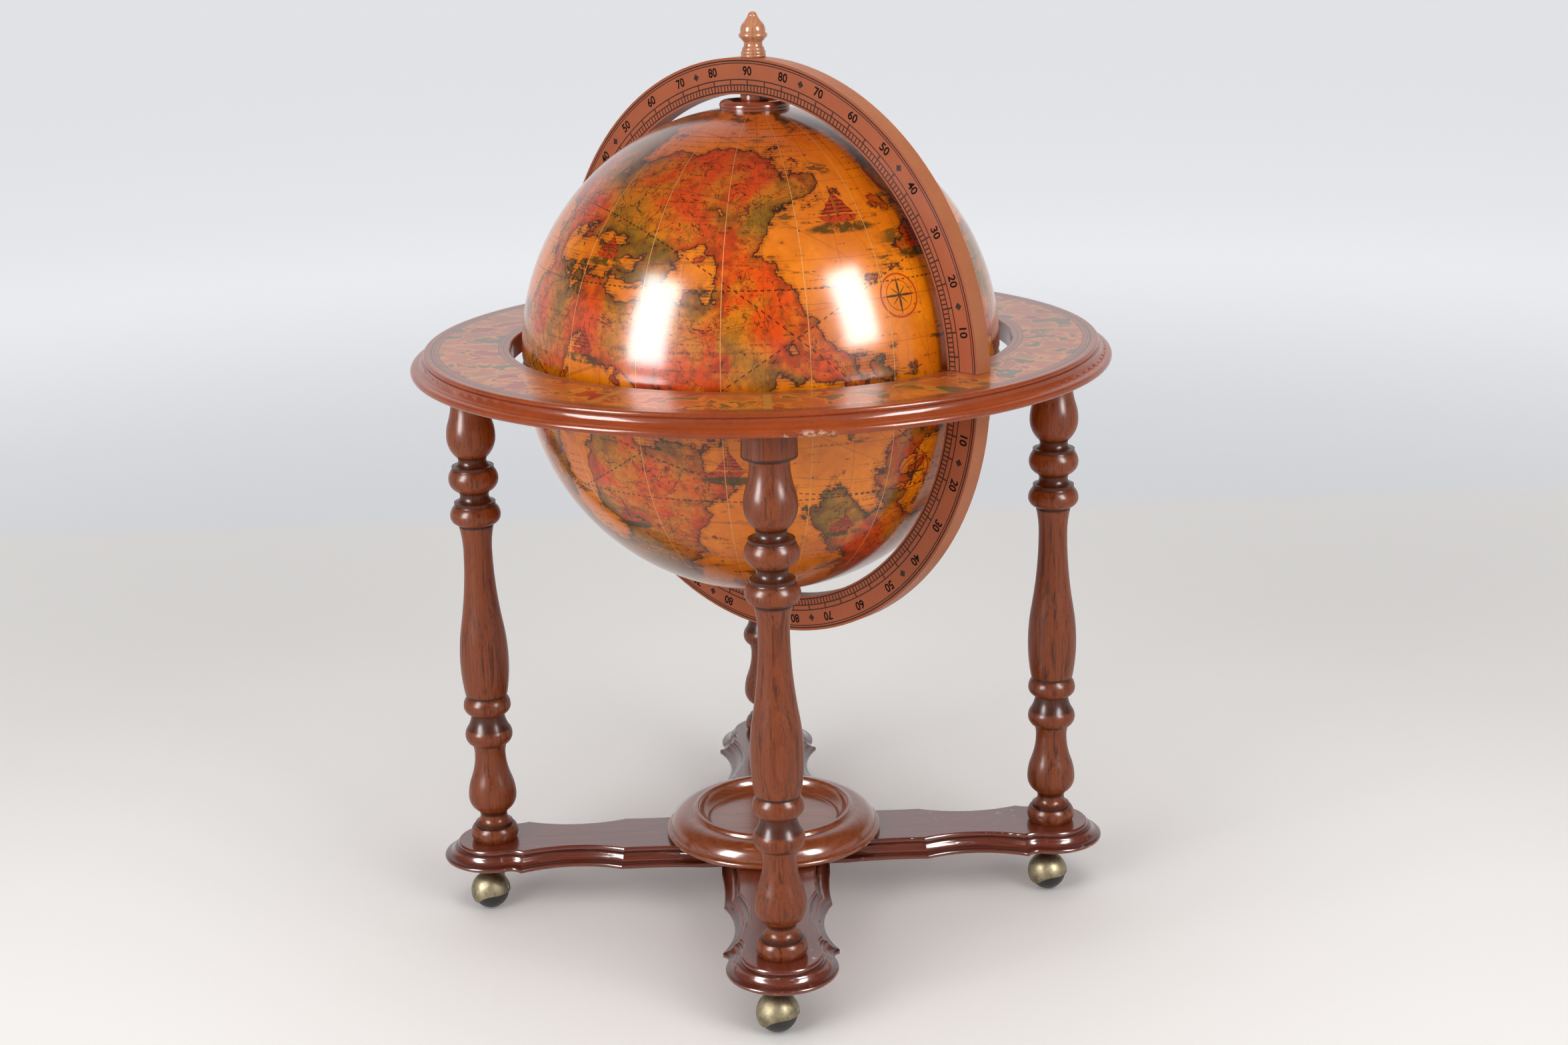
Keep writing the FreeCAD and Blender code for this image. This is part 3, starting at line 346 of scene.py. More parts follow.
    # pen strokes, hill marks and rivers on the land, rows of small dashes everywhere
    pen = add(
        t, "TexNoise", Vector=add(t, "Mapping", Vector=d, Scale=(190, 190, 46)), Scale=1.0, Detail=2.0,
        Roughness=0.6)
    written = add(t, "TexNoise", Vector=d, Scale=13.0, Detail=2.0)
    written = add(t, "MapRange SMOOTHSTEP", written, 0.42, 0.58, 0.0, 0.6)
    pen = add(t, "Math MULTIPLY", add(t, "MapRange SMOOTHSTEP", pen, 0.56, 0.64), written)
    cells = add(t, "Mapping", Vector=d, Scale=(1, 1, 1.9))
    hill = stripe(t, add(t, "TexVoronoi", Vector=cells, Scale=34.0, Randomness=0.9), 0.3, 0.02, 0.04)
    hilly = add(t, "TexNoise", Vector=d, Scale=9.0, Detail=2.0)
    hill = add(t, "Math MULTIPLY", hill, add(t, "MapRange SMOOTHSTEP", hilly, 0.48, 0.56, 0.0, 0.75))
    river = add(t, "TexNoise", Vector=moved, Scale=6.0, Detail=4.0, Roughness=0.6, Distortion=0.6)
    river = stripe(t, river, 0.5, 0.003, 0.005)
    marks = every(t, largest(t, hill, pen, river), inland, 0.85)
    colour = add(t, "Mix RGBA", marks, colour, hue["pen"])
    noted = add(t, "Mapping", Vector=d, Scale=(8, 8, 16))
    noted = add(t, "TexNoise", Vector=noted, Scale=1.0, Detail=1.0)
    dashes = every(
        t, comb(t, lat, 0.034, 0.003, 0.0012), add(t, "MapRange SMOOTHSTEP", grit, 0.48, 0.54),
        add(t, "MapRange SMOOTHSTEP", noted, 0.54, 0.58), 0.7)
    colour = add(t, "Mix RGBA", dashes, colour, hue["dashes"])
    colour = add(t, "Mix RGBA", add(t, "Math MULTIPLY", outline, 0.9), colour, hue["outline"])

    # graticule, dashed circles, compass star and boats
    def meridians(pitch, half):
        step = math.radians(pitch)
        part = add(t, "Math FRACT", add(t, "Math MULTIPLY_ADD", lon, 1 / step, 0.5))
        part = add(t, "Math ABSOLUTE", add(t, "Math SUBTRACT", part, 0.5))
        return add(t, "MapRange", every(t, part, step, across), half * 2, half)

    fine = add(t, "Math MAXIMUM", meridians(10, 0.0007), comb(t, lat, math.radians(10), 0.0007, 0.0007))
    colour = add(t, "Mix RGBA", add(t, "Math MULTIPLY", fine, 0.5), colour, hue["grid"])
    dash = add(t, "Math LESS_THAN", add(t, "Math FRACT", add(t, "Math MULTIPLY", lon, 36.0)), 0.56)
    circles = 0.0
    for level in (23.5, -23.5, 66.5, -66.5):
        circles = add(t, "Math MAXIMUM", circles, stripe(t, lat, math.radians(level), 0.0026, 0.0008))
    for tilt in ((0.21, -0.338, 0.917), (0.62, 0.25, 0.743), (-0.55, 0.12, 0.826)):
        slant = add(t, "VectorMath DOT_PRODUCT", d, tilt)
        circles = add(t, "Math MAXIMUM", circles, stripe(t, slant, 0.0, 0.0026, 0.0008))
    colour = add(t, "Mix RGBA", every(t, circles, dash, 0.85), colour, hue["circles"])
    star, rings, rays = compass(t, d, *rose)
    colour = add(t, "Mix RGBA", add(t, "Math MULTIPLY", rays, 0.35), colour, hue["rays"])
    colour = add(t, "Mix RGBA", add(t, "Math MULTIPLY", rings, 0.9), colour, hue["rings"])
    colour = add(t, "Mix RGBA", add(t, "Math MULTIPLY", star, 0.92), colour, hue["star"])
    shaken = add(t, "TexNoise", Vector=d, Scale=70.0, Detail=2.0, out="Color")
    shaken = add(t, "VectorMath SCALE", add(t, "VectorMath SUBTRACT", shaken, (0.5, 0.5, 0.5)), 0.012)
    shaken = add(t, "VectorMath ADD", d, shaken)
    for spot in boats:
        body, shade, pool = boat(t, shaken, *spot)
        pool = add(t, "Math MULTIPLY", pool, add(t, "MapRange SMOOTHSTEP", mottle, 0.36, 0.52, 0.0, 0.9))
        colour = add(t, "Mix RGBA", pool, colour, hue["pool"])
        colour = add(t, "Mix RGBA", add(t, "Math MULTIPLY", body, 0.9), colour, hue["boat"])
        worn = add(t, "Math MULTIPLY", body, add(t, "MapRange SMOOTHSTEP", grit, 0.5, 0.62))
        shade = add(t, "Math MULTIPLY", add(t, "Math MAXIMUM", shade, worn), 0.7)
        colour = add(t, "Mix RGBA", shade, colour, hue["boatShade"])

    # pale joints between the gores, brown stain of age, fine specks, and painted shade darker towards both
    # poles
    seam = meridians(20, 0.0011)
    colour = add(t, "Mix RGBA", add(t, "Math MULTIPLY", seam, 0.6), colour, hue["seam"])
    stain = add(t, "TexNoise", Vector=d, Scale=5.5, Detail=6.0, Roughness=0.65)
    stain = add(t, "MapRange SMOOTHSTEP", stain, 0.5, 0.75, 0.0, 0.3)
    colour = add(t, "Mix RGBA", stain, colour, hue["stain"])
    specks = add(t, "MapRange SMOOTHSTEP", grit, 0.6, 0.78, 0.0, 0.35)
    colour = add(t, "Mix RGBA", specks, colour, hue["specks"])
    # painted shade: the map darkens towards both poles, where less light falls
    paintedPoleShade = add(t, "MapRange SMOOTHSTEP", add(t, "Math ABSOLUTE", z), 0.4, 1.0, 0.0, 0.7)
    colour = add(t, "Mix RGBA", paintedPoleShade, colour, hue["paintedPoleShade"], blend_type="MULTIPLY")
    relief = add(t, "Math MULTIPLY_ADD", seam, 0.5, add(t, "Math MULTIPLY", age, 0.6))
    return surface(
        material, colour, add(t, "Math MULTIPLY_ADD", mottle, 0.08, 0.22), relief, 0.0004,
        Specular_IOR_Level=0.06, Coat_Weight=0.9, Coat_Roughness=0.17, Coat_IOR=1.5)


# edge is the rim's tone, painted lighter than the face as painted light from the side
meridianColours = {
    "edge": "#B4704A", "face": "#B05E3A", "grain": "#7E3A1E", "fleck": "#5E2816", "ink": "#160C0A",
}


# printed meridian: border lines, degree ladder and small diamonds on reddish stain, with the rim painted
# lighter as painted light from the side; radius in mm, angle in degrees
def meridianPrint(name, centre):
    material = blank(name)
    t = material.node_tree
    hue = {part: linear(code) for part, code in meridianColours.items()}
    p = add(t, "TexCoord", out="Object")
    along = add(t, "VectorMath DOT_PRODUCT", p, (math.sqrt(0.5), -math.sqrt(0.5), 0))
    up = add(t, "Math SUBTRACT", add(t, "SeparateXYZ", p, out="Z"), centre)
    radius = add(t, "VectorMath LENGTH", add(t, "CombineXYZ", along, up))
    radius = add(t, "Math MULTIPLY", radius, 1000.0)
    angle = add(t, "Math MULTIPLY", add(t, "Math ARCTAN2", up, along), 180 / math.pi)
    grain = add(
        t, "TexNoise", Vector=add(t, "Mapping", Vector=p, Scale=(30, 30, 30)), Scale=1.0, Detail=5.0,
        Roughness=0.6)
    fleck = add(t, "TexNoise", Vector=p, Scale=420.0, Detail=3.0, Roughness=0.6)
    facing = add(t, "NewGeometry", out="Normal")
    facing = add(t, "VectorMath DOT_PRODUCT", facing, (math.sqrt(0.5), math.sqrt(0.5), 0))
    facing = add(t, "Math GREATER_THAN", add(t, "Math ABSOLUTE", facing), 0.6)
    # painted light: the rim takes a lighter tone than the face
    colour = add(t, "Mix RGBA", facing, hue["edge"], hue["face"])
    colour = add(t, "Mix RGBA", add(t, "Math MULTIPLY", grain, 0.5), colour, hue["grain"])
    flecks = add(t, "MapRange SMOOTHSTEP", fleck, 0.55, 0.75, 0.0, 0.25)
    colour = add(t, "Mix RGBA", flecks, colour, hue["fleck"])
    ink = 0.0
    for level, half in ((295.8, 0.65), (293.4, 0.45), (276.8, 0.55), (271.4, 0.55), (264.6, 0.65)):
        ink = add(t, "Math MAXIMUM", ink, stripe(t, radius, level, half, 0.15))

    def between(low, high):
        above = add(t, "Math GREATER_THAN", radius, low)
        return add(t, "Math MULTIPLY", above, add(t, "Math LESS_THAN", radius, high))

    ladder = add(t, "Math MULTIPLY", comb(t, angle, 1.0, 0.13, 0.04), between(264.6, 271.4))
    fives = add(t, "Math MULTIPLY", comb(t, angle, 5.0, 0.15, 0.04), between(264.6, 276.8))
    spread = add(t, "Math SUBTRACT", add(t, "Math FRACT", add(t, "Math DIVIDE", angle, 30.0)), 0.5)
    spread = add(t, "Math ABSOLUTE", add(t, "Math MULTIPLY", spread, 30.0 * 4.9))
    diamond = add(t, "Math ADD", spread, add(t, "Math ABSOLUTE", add(t, "Math SUBTRACT", radius, 285.0)))
    ink = largest(t, ink, ladder, fives, add(t, "MapRange", diamond, 4.2, 3.8))
    colour = add(t, "Mix RGBA", every(t, ink, facing, 0.92), colour, hue["ink"])
    return surface(
        material, colour, add(t, "Math MULTIPLY_ADD", fleck, 0.1, 0.36), fleck, 0.00005,
        Specular_IOR_Level=0.12, Coat_Weight=0.15, Coat_Roughness=0.25)


ringColours = {
    "moulding": "#A64A1C", "darkMoulding": "#762C0E", "fleck": "#54200F", "brown": "#A85624",
    "ochre": "#BC6E2A", "red": "#9C2F1C", "olive": "#5E5226", "patchEdge": "#3C1E10", "bars": "#B07A3A",
    "border": "#8A4A2A", "ink": "#2A1610", "stain": "#6A3420", "chip": "#D6AE94",
}


# horizon ring: printed flat top with panels of muted colour, stained moulding outside; radius in mm
def ringPrint(name):
    material = blank(name)
    t = material.node_tree
    hue = {part: linear(code) for part, code in ringColours.items()}
    p = add(t, "TexCoord", out="Object")
    x, y, z = (add(t, "SeparateXYZ", p, out=axis) for axis in "XYZ")
    radius = add(t, "VectorMath LENGTH", add(t, "CombineXYZ", x, y))
    radius = add(t, "Math MULTIPLY", radius, 1000.0)
    angle = add(t, "Math MULTIPLY", add(t, "Math ARCTAN2", y, x), 180 / math.pi)
    top = every(
        t, add(t, "Math GREATER_THAN", z, 0.6306), add(t, "Math LESS_THAN", radius, 349.0),
        add(t, "Math GREATER_THAN", radius, 264.0))
    grain = add(t, "TexNoise", Vector=p, Scale=24.0, Detail=6.0, Roughness=0.65)
    fine = add(t, "TexNoise", Vector=p, Scale=300.0, Detail=3.0, Roughness=0.6)
    edge = add(t, "Mix RGBA", grain, hue["moulding"], hue["darkMoulding"])
    edge = add(t, "Mix RGBA", add(t, "MapRange SMOOTHSTEP", fine, 0.5, 0.75, 0.0, 0.3), edge, hue["fleck"])

    # panels of colour with a drawn edge
    patch = add(t, "TexNoise", Vector=p, Scale=30.0, Detail=3.0, Roughness=0.55, Distortion=0.4)
    tint = add(t, "TexNoise", Vector=p, Scale=16.0, Detail=2.0)
    ochre = add(t, "MapRange SMOOTHSTEP", patch, 0.46, 0.5)
    colour = add(t, "Mix RGBA", ochre, hue["brown"], hue["ochre"])
    panel = add(t, "MapRange SMOOTHSTEP", patch, 0.55, 0.57)
    for part, end in (("red", 0.53), ("olive", 0.47)):
        tinted = add(t, "Math MULTIPLY", panel, add(t, "MapRange SMOOTHSTEP", tint, 0.5, end))
        colour = add(t, "Mix RGBA", tinted, colour, hue[part])
    drawn = add(t, "Math MULTIPLY", stripe(t, patch, 0.555, 0.004, 0.008), 0.7)
    colour = add(t, "Mix RGBA", drawn, colour, hue["patchEdge"])
    bars = comb(t, angle, 30.0, 0.7, 0.1)
    colour = add(t, "Mix RGBA", add(t, "Math MULTIPLY", bars, 0.7), colour, hue["bars"])
    border = add(t, "Math GREATER_THAN", radius, 336.0)
    border = add(t, "Math MAXIMUM", border, add(t, "Math LESS_THAN", radius, 274.0))
    colour = add(t, "Mix RGBA", add(t, "Math MULTIPLY", border, 0.85), colour, hue["border"])
    ink = stripe(t, radius, 343.5, 0.8, 0.3)
    for level, half in ((340.5, 0.25), (335.8, 0.3), (274.2, 0.3), (269.0, 0.3)):
        ink = add(t, "Math MAXIMUM", ink, stripe(t, radius, level, half, 0.2))
    ticks = every(
        t, comb(t, angle, 1.0, 0.06, 0.03), add(t, "Math GREATER_THAN", radius, 335.8),
        add(t, "Math LESS_THAN", radius, 340.5))
    ink = add(t, "Math MAXIMUM", ink, ticks)
    colour = add(t, "Mix RGBA", add(t, "Math MULTIPLY", ink, 0.8), colour, hue["ink"])
    stain = add(t, "MapRange SMOOTHSTEP", grain, 0.4, 0.7, 0.0, 0.35)
    colour = add(t, "Mix RGBA", stain, colour, hue["stain"])

    # varnish chipped off the moulding in front
    chip = add(t, "VectorMath SUBTRACT", p, (0.035, -0.364, 0.612))
    chip = add(t, "VectorMath LENGTH", add(t, "VectorMath MULTIPLY", chip, (1.0, 1.0, 6.0)))
    flaked = add(t, "TexNoise", Vector=p, Scale=160.0, Detail=4.0, Roughness=0.7)
    flaked = add(t, "MapRange SMOOTHSTEP", flaked, 0.44, 0.56, 0.0, 0.8)
    chip = add(t, "Math MULTIPLY", add(t, "MapRange SMOOTHSTEP", chip, 0.036, 0.012), flaked)
    edge = add(t, "Mix RGBA", chip, edge, hue["chip"])
    colour = add(t, "Mix RGBA", top, edge, colour)
    return surface(
        material, colour, add(t, "Math MULTIPLY_ADD", fine, 0.08, 0.26), fine, 0.00004,
        Specular_IOR_Level=0.1, Coat_Weight=0.6, Coat_Roughness=0.12)


# heights in metres of the turned grooves: low, high, depth of the dark stain and painted shade
legGrooves = (
    (0.0900, 0.0935, 0.9), (0.1030, 0.1090, 0.7), (0.1860, 0.1880, 0.85), (0.2040, 0.2210, 0.65),
    (0.2410, 0.2435, 0.9), (0.4340, 0.4370, 0.9), (0.4570, 0.4740, 0.65), (0.4970, 0.5120, 0.65),
    (0.5780, 0.5820, 0.85),
)
plankGrooves = ((0.0588, 0.0600, 0.7), (0.0677, 0.0688, 0.7))
# longitude, latitude and size of each little boat, and of each compass star
boats = {
    "upper": ((-67, 42, 0.115), (-45, 33, 0.09), (-136, 10, 0.085), (-134, 32, 0.08), (40, 25, 0.09),
              (130, 35, 0.08)),
    "lower": ((-99, -14, 0.09), (-70, -32, 0.08), (-130, -30, 0.08), (50, -22, 0.08), (140, -20, 0.08)),
}
stars = {"upper": (-56, 20, 0.085), "lower": (-52, -20, 0.075)}
halfCentres = {"upper": 0.6215, "lower": 0.6135}  # the halves part by 8 mm
coastShift = (0.4, 1.9, 0.2)

beech = {
    "leg": {"light": "#8C431C", "dark": "#501D0A", "pore": "#280C05", "ringGap": 0.0042, "rough": 0.38,
            "coat": 0.35, "shine": 0.24, "grooves": legGrooves, "figure": 0.35, "streak": 0.7},
    "plank": {"light": "#7A3622", "dark": "#4A1B10", "pore": "#280D07", "ringGap": 0.006, "rough": 0.3,
              "coat": 1.0, "shine": 0.17, "grooves": plankGrooves, "figure": 0.35},
    "dish": {"light": "#9A4C20", "dark": "#642A10", "pore": "#341307", "ringGap": 0.0055, "rough": 0.3,
             "coat": 1.0, "shine": 0.17, "scuff": 0.4, "figure": 0.5},
    "finial": {"light": "#C2845F", "dark": "#945A3A", "pore": "#5A3018", "ringGap": 0.004, "rough": 0.28,
               "coat": 0.6, "shine": 0.2},
    "cap": {"light": "#8A3E1E", "dark": "#561F0C", "pore": "#2A0E08", "ringGap": 0.005, "rough": 0.22,
            "coat": 0.7, "shine": 0.16},
}
plywood = {
    "deck": {"light": "#8A5230", "dark": "#5C3018", "pore": "#3A1C0E", "ringGap": 0.007, "coat": 0.3},
    "hoop": {"light": "#7A4A2C", "dark": "#54301A", "pore": "#3A1E10", "ringGap": 0.006, "rough": 0.4,
             "coat": 0.2},
}
upper, lower = halfCentres["upper"], halfCentres["lower"]
finishes = [
    # stained on the lathe: satin red brown with dark grain, nearly black in the beads from stain and painted
    # shade
    wood("turnedBeech", **beech["leg"]),
    # several coats of varnish: a deep gloss that mirrors the legs, worn pale in places
    wood("varnishedBeechX", along="X", scuff=0.5, **beech["plank"]),
    wood("varnishedBeechY", along="Y", scuff=0.9, **beech["plank"]),
    # polished while it turns: gloss, and a warmer brown than the planks
    wood("polishedBeech", along="X", **beech["dish"]),
    # little stain under thin varnish: pale, with a soft shine
    wood("paleTurnedBeech", **beech["finial"]),
    # dark lacquer: a small bright glint
    wood("lacqueredBeech", along="X", **beech["cap"]),
    # stained sheet and bent hoop with hardly any varnish: mid brown, dull
    wood("stainedPlywood", along="X", **plywood["deck"]),
    wood("bentPlywood", along="X", **plywood["hoop"]),
    # ink on stained wood: matt red brown, black lines
    meridianPrint("upperPrintedBeech", upper),
    meridianPrint("lowerPrintedBeech", lower),
    # printed paper let into a moulded ring, varnished over both: muted print under gloss
    ringPrint("printedRing"),
    # printed paper under amber varnish: warm, with broad soft lights
    globePrint("upperVarnishedPaper", upper, coastShift, stars["upper"], boats["upper"]),
    globePrint("lowerVarnishedPaper", lower, coastShift, stars["lower"], boats["lower"]),
    plain("pastedPaper", "#B08A5A", "#97703F", 0.6),  # bare lining: matt buff
    plain("pressedBoard", "#C9A468", "#A67C42", 0.5),  # cut edge: pale, fibrous
    plain("mouldedAbs", "#2A2321", "#1E1918", 0.55),  # grained mould: black, faint sheen
    plain("printedInk", "#120A08", "#0C0605", 0.6, gloss=0.05),  # flat black
    plain("mouldedRubber", "#383533", "#262423", 0.42, 0.2),  # dark grey, blurred lights
    agedMetal("agedBrass", "#A98A52", "#6B522B", 0.46, 0.6),  # rolled and left bare: dull yellow
    agedMetal("brownedBrass", "#9A8F74", "#504536", 0.5, 0.7),  # pressed and browned: a blurred glint
    agedMetal("zincPlatedSteel", "#B8B8B6", "#8C8C8A", 0.32, 0.4),  # plated: bright grey
]
looks = {material.name: material for material in finishes}
print("materials made")


# solid of revolution about Z from a closed list of (radius, height, look)
def lathe(name, points, steps, looksUsed):
    profile = [(r, z) for r, z, _ in points]
    turns = [2 * math.pi * k / steps for k in range(steps)]
    verts = [(r * math.cos(a), r * math.sin(a), z) for r, z in profile for a in turns]
    faces, marks = [], []
    count = len(profile)
    for row in range(count):
        after = (row + 1) % count
        for k in range(steps):
            n = (k + 1) % steps
            faces.append((row * steps + k, row * steps + n, after * steps + n, after * steps + k))
            marks.append(points[row][2])
    mesh = bpy.data.meshes.new(name)
    mesh.from_pydata(verts, [], faces)
    for look in looksUsed:
        mesh.materials.append(looks[look])
    mesh.polygons.foreach_set("material_index", marks)
    mesh.polygons.foreach_set("use_smooth", [True] * len(faces))
    mesh.set_sharp_from_angle(angle=math.radians(40))
    made = bpy.data.objects.new(name, mesh)
    bpy.context.collection.objects.link(made)
    return made


# half globe: printed outside, pale cut edge with eased corners, lined inside; sizes in metres
shellSizes = {"radius": 0.25, "wall": 0.004, "hole": 0.006, "ease": 0.0007,
              "outer": 96, "inner": 48, "around": 288}  # steps of the mesh


def halfShell(name, centre, sign, paper):
    s = shellSizes
    radius, inside = s["radius"], s["radius"] - s["wall"]
    start, startIn = math.asin(s["hole"] / radius), math.asin(s["hole"] / inside)
    rows, rowsIn = s["outer"], s["inner"]
    outer = [start + (math.pi / 2 - s["ease"] / radius - start) * k / rows for k in range(rows + 1)]
    inner = [startIn + (math.pi / 2 - startIn) * k / rowsIn for k in range(rowsIn + 1)]
    points = [(radius * math.sin(a), radius * math.cos(a), 0) for a in outer]
    points[-1] = (*points[-1][:2], 2)
    points += [(radius - s["ease"], 0.0, 2)]
    points += [(inside * math.sin(a), inside * math.cos(a), 1) for a in reversed(inner)]
    if sign > 0:
        points.reverse()
        marks = [m for _, _, m in points]
        points = [(r, z, marks[(k + 1) % len(marks)]) for k, (r, z, _) in enumerate(points)]
    points = [(r, centre + sign * z, m) for r, z, m in points]
    return lathe(name, points, s["around"], [paper, "pastedPaper", "pressedBoard"])


shells = {
    "upperShell": {"half": "upper", "sign": 1, "node": "upper_shell", "body": "upper_globe"},
    "lowerShell": {"half": "lower", "sign": -1, "node": "lower_shell", "body": "lower_globe"},
}
for name, s in shells.items():
    made = halfShell(name, halfCentres[s["half"]], s["sign"], s["half"] + "VarnishedPaper")
    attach(made, s["body"])
    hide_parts(s["node"])
print("shells made")

# plain degree figures on both faces of the meridian, sizes in metres
figures = {"height": 0.0125, "bolder": 0.0003, "ink": 0.00005, "radius": 0.2852, "face": 0.01,
           "step": 10, "count": 17}  # every 10 degrees, 10 to 90 and back
figureHalves = {
    "upperFigures": {"half": "upper", "way": 1.0, "body": "lid"},
    "lowerFigures": {"half": "lower", "way": -1.0, "body": "frame"},
}


# one mesh for each of 10, 20 ... 90
def cutGlyphs():
    glyphs = bpy.data.collections.new("glyphs")
    for number in range(figures["step"], 91, figures["step"]):
        curve = bpy.data.curves.new("glyph", "FONT")
        curve.body = str(number)
        curve.size, curve.offset, curve.extrude = figures["height"], figures["bolder"], figures["ink"]
        curve.resolution_u = 4
        curve.align_x = "CENTER"
        curve.align_y = "CENTER"
        text = bpy.data.objects.new("glyph", curve)
        bpy.context.collection.objects.link(text)
        mesh = bpy.data.meshes.new_from_object(text.evaluated_get(bpy.context.evaluated_depsgraph_get()))
        bpy.data.objects.remove(text)
        bpy.data.curves.remove(curve)
        glyphs.objects.link(bpy.data.objects.new("glyph%d" % number, mesh))
    return glyphs


# sets the glyphs along the arc, upright from the centre, on the front face and on the back
def figureTree():
    tree = bpy.data.node_groups.new("figuresOnArc", "GeometryNodeTree")
    for label in ("Radius", "Face", "Centre", "Way"):
        tree.interface.new_socket(label, in_out="INPUT", socket_type="NodeSocketFloat")
    tree.interface.new_socket("Glyphs", in_out="INPUT", socket_type="NodeSocketCollection")
    tree.interface.new_socket("Figures", in_out="OUTPUT", socket_type="NodeSocketGeometry")
    radius, face, centre, way, glyphs = (
        add(tree, "NodeGroupInput", out=label) for label in ("Radius", "Face", "Centre", "Way", "Glyphs"))
    half = math.sqrt(0.5)  # the meridian stands across the corner
    step, middle = math.radians(figures["step"]), (figures["count"] - 1) / 2
    index = add(tree, "GeometryNodeInputIndex")
    turn = add(tree, "Math MULTIPLY_ADD", index, step, step)
    lean = add(tree, "Math COSINE", turn)
    rise = add(tree, "Math MULTIPLY", add(tree, "Math SINE", turn), way)
    across = add(tree, "Math MULTIPLY", lean, half)
    outward = add(tree, "CombineXYZ", across, add(tree, "Math MULTIPLY", lean, -half), rise)
    which = add(tree, "Math ABSOLUTE", add(tree, "Math SUBTRACT", index, middle))
    which = add(tree, "Math SUBTRACT", middle, which)
    stock = add(
        tree, "GeometryNodeCollectionInfo", Collection=glyphs, Separate_Children=True, Reset_Children=True)
    onArc = add(tree, "VectorMath SCALE", outward, radius)
    onArc = add(tree, "VectorMath ADD", onArc, add(tree, "CombineXYZ", 0.0, 0.0, centre))
    faces = []
    for side in (half, -half):
        normal = (side, side, 0.0)
        spot = add(tree, "VectorMath ADD", onArc, add(tree, "VectorMath SCALE", normal, face))
        upright = add(
            tree, "FunctionNodeAxesToRotation", normal, outward, primary_axis="Z", secondary_axis="Y")
        points = add(tree, "GeometryNodePoints", figures["count"], spot)
        faces.append(add(
            tree, "GeometryNodeInstanceOnPoints", Points=points, Instance=stock, Pick_Instance=True,
            Instance_Index=which, Rotation=upright))
    solid = add(tree, "GeometryNodeRealizeInstances", add(tree, "GeometryNodeJoinGeometry", faces))
    inked = add(tree, "GeometryNodeSetMaterial", Geometry=solid, Material=looks["printedInk"])
    add(tree, "NodeGroupOutput", inked)
    return tree


glyphs = cutGlyphs()
tree = figureTree()
sockets = {s.name: s.identifier for s in tree.interface.items_tree if s.in_out == "INPUT"}
for name, h in figureHalves.items():
    made = bpy.data.objects.new(name, bpy.data.meshes.new(name))
    bpy.context.collection.objects.link(made)
    setter = made.modifiers.new("figures", "NODES")
    setter.node_group = tree
    wanted = {"Radius": figures["radius"], "Face": figures["face"], "Centre": halfCentres[h["half"]],
              "Way": h["way"], "Glyphs": glyphs}
    for label, value in wanted.items():
        setter[sockets[label]] = value
    mesh = bpy.data.meshes.new_from_object(made.evaluated_get(bpy.context.evaluated_depsgraph_get()))
    made.modifiers.remove(setter)
    made.data = mesh
    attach(made, h["body"])
for glyph in list(glyphs.objects):
    bpy.data.objects.remove(glyph)
bpy.data.collections.remove(glyphs)
print("figures made")

# finish of each part that is shown as built
nodeLooks = {
    "horizon_ring": "printedRing", "cross_plank_side": "varnishedBeechX",
    "cross_plank_front": "varnishedBeechY", "bottle_dish": "polishedBeech",
    "dish_bolt": "zincPlatedSteel", "lower_meridian": "lowerPrintedBeech",
    "upper_meridian": "upperPrintedBeech", "meridian_screws": "zincPlatedSteel",
    "south_pivot": "zincPlatedSteel", "south_nut": "zincPlatedSteel", "south_spacer": "lacqueredBeech",
    "north_pivot": "zincPlatedSteel", "north_nut": "zincPlatedSteel", "north_spacer": "lacqueredBeech",
    "hinge_leaf_fixed": "agedBrass", "hinge_leaf_lid": "agedBrass", "hinge_pin": "agedBrass",
    "hinge_screws_fixed": "agedBrass", "hinge_screws_lid": "agedBrass",
    "caster_sockets": "zincPlatedSteel", "finial": "paleTurnedBeech", "upper_rim": "bentPlywood",
    "lower_rim": "bentPlywood", "upper_hub": "bentPlywood", "lower_hub": "bentPlywood",
    "pole_cap": "lacqueredBeech", "south_cap": "lacqueredBeech", "bar_deck": "stainedPlywood",
    "bottle_well": "mouldedAbs",
}
for side in ("front", "right", "back", "left"):
    nodeLooks["leg_" + side] = "turnedBeech"
    nodeLooks["caster_hood_" + side] = "brownedBrass"
    nodeLooks["caster_stem_" + side] = "zincPlatedSteel"
    nodeLooks["caster_axle_" + side] = "zincPlatedSteel"
    nodeLooks["caster_ball_" + side] = "mouldedRubber"
for node, look in nodeLooks.items():
    mesh = nodes[node].data
    mesh.materials.clear()
    mesh.materials.append(looks[look])
    mesh.polygons.foreach_set("material_index", [0] * len(mesh.polygons))
print("node materials set")

# the photograph's camera: 2.42 m in front, a little above the finial; angles in degrees
eyeSizes = {
    "lens": 53.83, "sensor": 36, "at": (-0.0389, -2.4234, 1.1190),
    "pitch": 15.933, "yaw": 1.385, "roll": -1.377,
}


def aim(place, pitch, yaw, roll):
    a, b, c = (math.radians(v) for v in (pitch, yaw, roll))
    ahead = Vector((math.sin(b) * math.cos(a), math.cos(b) * math.cos(a), -math.sin(a)))
    right = Vector((math.cos(b), -math.sin(b), 0))
    up = right.cross(ahead)
    x = math.cos(c) * right + math.sin(c) * up
    y = -math.sin(c) * right + math.cos(c) * up
    turn = Matrix((x, y, -ahead)).transposed().to_4x4()
    return Matrix.Translation(place) @ turn


eye = bpy.data.cameras.new("eye")
eye.lens, eye.sensor_width = eyeSizes["lens"], eyeSizes["sensor"]
eye.clip_start, eye.clip_end = 0.05, 100
camera = bpy.data.objects.new("eye", eye)
camera.matrix_world = aim(eyeSizes["at"], eyeSizes["pitch"], eyeSizes["yaw"], eyeSizes["roll"])
bpy.context.collection.objects.link(camera)
bpy.context.scene.camera = camera
